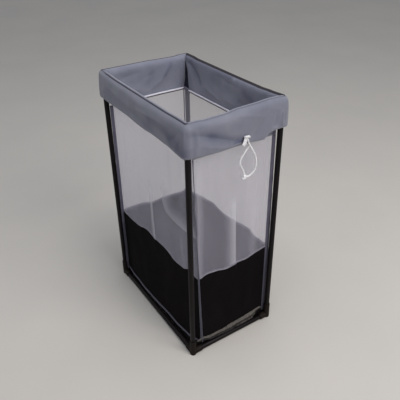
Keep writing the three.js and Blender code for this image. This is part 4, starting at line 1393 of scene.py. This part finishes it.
# The front hem is loose and lies crumpled on the rail: share along the side, and millimetres. Its colour has
# painted shade low down and a painted highlight along one fold.
looseHem = {
    "first": 0.067, "last": 0.965,
    "top": [(0.067, 26.5), (0.1, 28), (0.124, 31), (0.154, 31), (0.19, 27.5), (0.228, 26.5), (0.411, 26.5),
            (0.525, 30.7), (0.643, 32), (0.77, 35), (0.91, 38.5), (0.965, 29.5)],
    "lowOut": [(0.067, -9), (0.085, -7.5), (0.139, -6), (0.17, -4.5), (0.237, -2), (0.371, -1), (0.5, 1.2),
               (0.62, 0), (0.79, -0.8), (0.835, -5), (0.87, -7), (0.94, -9.3), (0.965, -9.5)],
    "lowHeight": [(0.067, 25), (0.085, 20), (0.139, 19), (0.17, 19.5), (0.237, 15.3), (0.5, 15), (0.79, 15.2),
                  (0.835, 19), (0.87, 25.5), (0.94, 27), (0.965, 27.3)],
    "columns": 170, "rows": 20, "clear": 7.4 * mm, "thickness": 1 * mm, "offWall": 1.4 * mm,
    "topWave": 1.2 * mm, "lowWave": 0.9 * mm, "wander": 0.14, "lean": 0.7, "heldUntil": (0.1, 0.12, 0.91),
    "welt": (0.28, 0.16), "paintedHighlightFold": (0.84, 0.09), "swell": 2.4,  # folds as share of the way down, and width
}


def makeLooseHem(shape):
    length, (start, ahead, outward) = sides["front"]["length"], sideAxes("front")
    ends = [(cornerRoot(name, bag["foot"]) - start).dot(ahead) / length for name in sides["front"]["ends"]]
    first, last, rows, shades = shape["first"], shape["last"], [], []
    for i in range(shape["rows"], -1, -1):  # from the loose edge up
        down = i / shape["rows"]
        row, shadeRow = [], []
        for j in range(shape["columns"] + 1):
            share = lerp(first, last, j / shape["columns"])
            height = along(shape["top"], share) * mm
            height += shape["topWave"] * waver(share * 34, 4, 4) * (1 - down)
            onWall = clamp((share - ends[0]) / (ends[1] - ends[0]))
            wallOut = (wallSpot("front", onWall, height, shape["offWall"])[0] - start).dot(outward)
            lowOut, lowHeight = along(shape["lowOut"], share) * mm, along(shape["lowHeight"], share) * mm
            top = beside("front", share * length, wallOut, height)
            low = beside("front", share * length, lowOut, lowHeight)
            low.z += shape["lowWave"] * abs(waver(share * 40, 9, 2))
            point = top.lerp(low, down)
            place = Vector((share * 26, down * 1.6, 3))
            ridge = 1 - 2 * abs(noise.noise(place)) - abs(noise.noise(place * 2.6))
            wander = shape["wander"] * waver(share * 11, 1, 1)
            welt = bell(down - shape["welt"][0] - wander, shape["welt"][1])
            heldDown, heldFirst, heldLast = shape["heldUntil"]
            loose = smooth(0, heldDown, down) * smooth(first, heldFirst, share)
            loose *= smooth(last, heldLast, share)
            swell = shape["swell"] * ridge + shape["swell"] * welt - 1
            point += (outward + upBy(1)) * shape["lean"] * swell * mm * loose
            fromRail = Vector((point.x - rack["postX"], 0, point.z - rack["lowRail"]))
            if fromRail.length < shape["clear"]:
                point += fromRail.normalized() * (shape["clear"] - fromRail.length)
            row.append(point)
            # Painted shade darkens the hem's lower half and its crumples at random, and a painted highlight
            # pales one fold near its edge
            paintedFoldHighlight = bell(down - shape["paintedHighlightFold"][0], shape["paintedHighlightFold"][1])
            paintedFoldHighlight *= smooth(0.55, 0.66, share) * smooth(0.88, 0.82, share)
            shade = 0.9 * smooth(0.4, 0.62, down + wander) - 0.75 * paintedFoldHighlight
            shadeRow.append(max(shade + 0.5 * waver(share * 60, down * 3, 7) + 0.17, 0))
        rows.append(row)
        shades.append(shadeRow)
    piece = loft("footBinding_front", rows, marks={"seamAndPaintedShade": shades})
    thicken(piece, shape["thickness"])
    dress(piece, hemTape, "binding_grey", "floor_binding_front")


makeLooseHem(looseHem)
print("seams made")

# The cord runs round inside the cuff's casing and comes to the buttonhole from both sides of the front. The
# casing is measured at three heights beside the cord.
hemCord = {
    "order": {"right": 0.95, "back": 0.95, "left": 0.95, "front": 0.4}, "spots": 29,
    "turns": range(-90, 1, 15), "frontAgain": [0.68 + 0.025 * n for n in range(12)],
    "lift": 1 * mm, "steps": 560, "facets": 8,
    "into": [(0.4, 1.8, 0), (-2.6, 4.8, -3)], "outOf": [(-2.6, -4.8, -3), (0.4, -1.8, 0)],
    "measured": (-1 * mm, 2.5 * mm, 6 * mm),
}


def cordReach(side, run):  # how far out the cord lies in the casing
    height = drawstring["cordHeight"]
    return drawstring["cordOut"] + min(cuffPush(side, run, height + rise) for rise in hemCord["measured"])


def makeHemCord(shape):
    height = drawstring["cordHeight"] + shape["lift"]

    def inCasing(side, share):
        run = share * sides[side]["length"]
        return beside(side, run, cordReach(side, run), height + hemRise(side, share))

    points = [buttonholeSpot + Vector(spot) * mm for spot in shape["into"]]
    points += [inCasing("front", share) for share in shape["frontAgain"]]
    for side, stop in shape["order"].items():
        (start, ahead, outward), reach = sideAxes(side), cordReach(side, 0)
        for turn in map(math.radians, shape["turns"]):
            around = ahead * reach * math.sin(turn) + outward * reach * math.cos(turn)
            points.append(start + around + upBy(height + hemRise(side, 0)))
        points += [inCasing(side, stop * n / shape["spots"]) for n in range(1, shape["spots"] + 1)]
    points += [buttonholeSpot + Vector(spot) * mm for spot in shape["outOf"]]
    path = curvePoints(points, shape["steps"])
    piece = tubeAlong("hemCord", path, drawstring["diameter"] / 2, shape["facets"])
    dress(piece, whiteCord, "cord_white", "cord_in_hem")


buttonholeEdge = {"out": 0.1 * mm, "wide": 6.2 * mm, "tall": 2.8 * mm, "radius": 0.8 * mm, "steps": 40}


def makeButtonhole(shape):
    path = []
    for n in range(shape["steps"]):
        a = 2 * math.pi * n / shape["steps"]
        spot = Vector((shape["out"], shape["wide"] * math.cos(a), shape["tall"] * math.sin(a)))
        path.append(buttonholeSpot + spot)
    piece = tubeAlong("buttonholeEdge", path, shape["radius"], 8, closed=True)
    dress(piece, bindingTape, "binding_grey")


makeHemCord(hemCord)
makeButtonhole(buttonholeEdge)
print("hem cord made")

stageLook = {
    "size": 14, "colours": {"floor": (203, 198, 192), "wornAndPaintedShade": (198, 194, 189)},
    "backdrop": (0.62, 0.61, 0.60, 1), "sky": (0.9, 0.94, 1.0, 1), "ambient": 0.385,
}


def makeStage(look):
    ground = addShape(bpy.ops.mesh.primitive_plane_add, size=look["size"], location=(0, 0, 0))
    ground.name = "paleFloor"
    material, board, shader = startMaterial("paleFloorFinish")
    tint, cloud = paintAll(look["colours"]), board.range(board.noise(placeOf(board), 2.5, 3), 0.3, 0.7)
    tone = board.blend(cloud, tint["floor"], tint["wornAndPaintedShade"])
    board.fill(shader, {"Base Color": tone, "Roughness": 0.9, "Specular IOR Level": 0.1})
    ground.data.materials.append(material)
    world = bpy.data.worlds.new("studio")
    bpy.context.scene.world = world
    world.use_nodes = True
    nodes, sky = world.node_tree.nodes, Board(world.node_tree)
    shown = sky.fill(sky.add("ShaderNodeBackground"), {"Color": look["backdrop"]})[0]
    lit = sky.fill(nodes["Background"], {"Color": look["sky"], "Strength": look["ambient"]})[0]
    rays = sky.add("ShaderNodeLightPath").outputs
    mirrored = sky.calc("MAXIMUM", rays["Is Glossy Ray"], rays["Is Transmission Ray"])
    seen = sky.calc("MAXIMUM", rays["Is Camera Ray"], mirrored)
    sky.put(sky.mix(seen, lit, shown), nodes["World Output"].inputs["Surface"])


lamps = {
    "key": {"place": (2.0, 0.45, 2.25), "size": 1.4, "power": 45, "colour": (1, 0.97, 0.94)},
    "top": {"place": (0.3, -0.1, 2.6), "size": 1.4, "power": 17, "colour": (1, 1, 1)},
    "left": {"place": (-0.9, -2.3, 1.3), "size": 1.8, "power": 2.6, "colour": (0.7, 0.84, 1)},
}
lampGoal = Vector((0, 0, 320 * mm))


def makeLamps():
    for name, look in lamps.items():
        bpy.ops.object.light_add(type="AREA", location=look["place"])
        lamp = bpy.context.object
        lamp.name = name + "Lamp"
        lamp.data.size = look["size"]
        lamp.data.energy = look["power"]
        lamp.data.color = look["colour"]
        lamp.rotation_euler = (lampGoal - lamp.location).to_track_quat("-Z", "Y").to_euler()


makeStage(stageLook)
makeLamps()
bpy.context.scene.view_settings.view_transform = "Standard"
print("stage set")
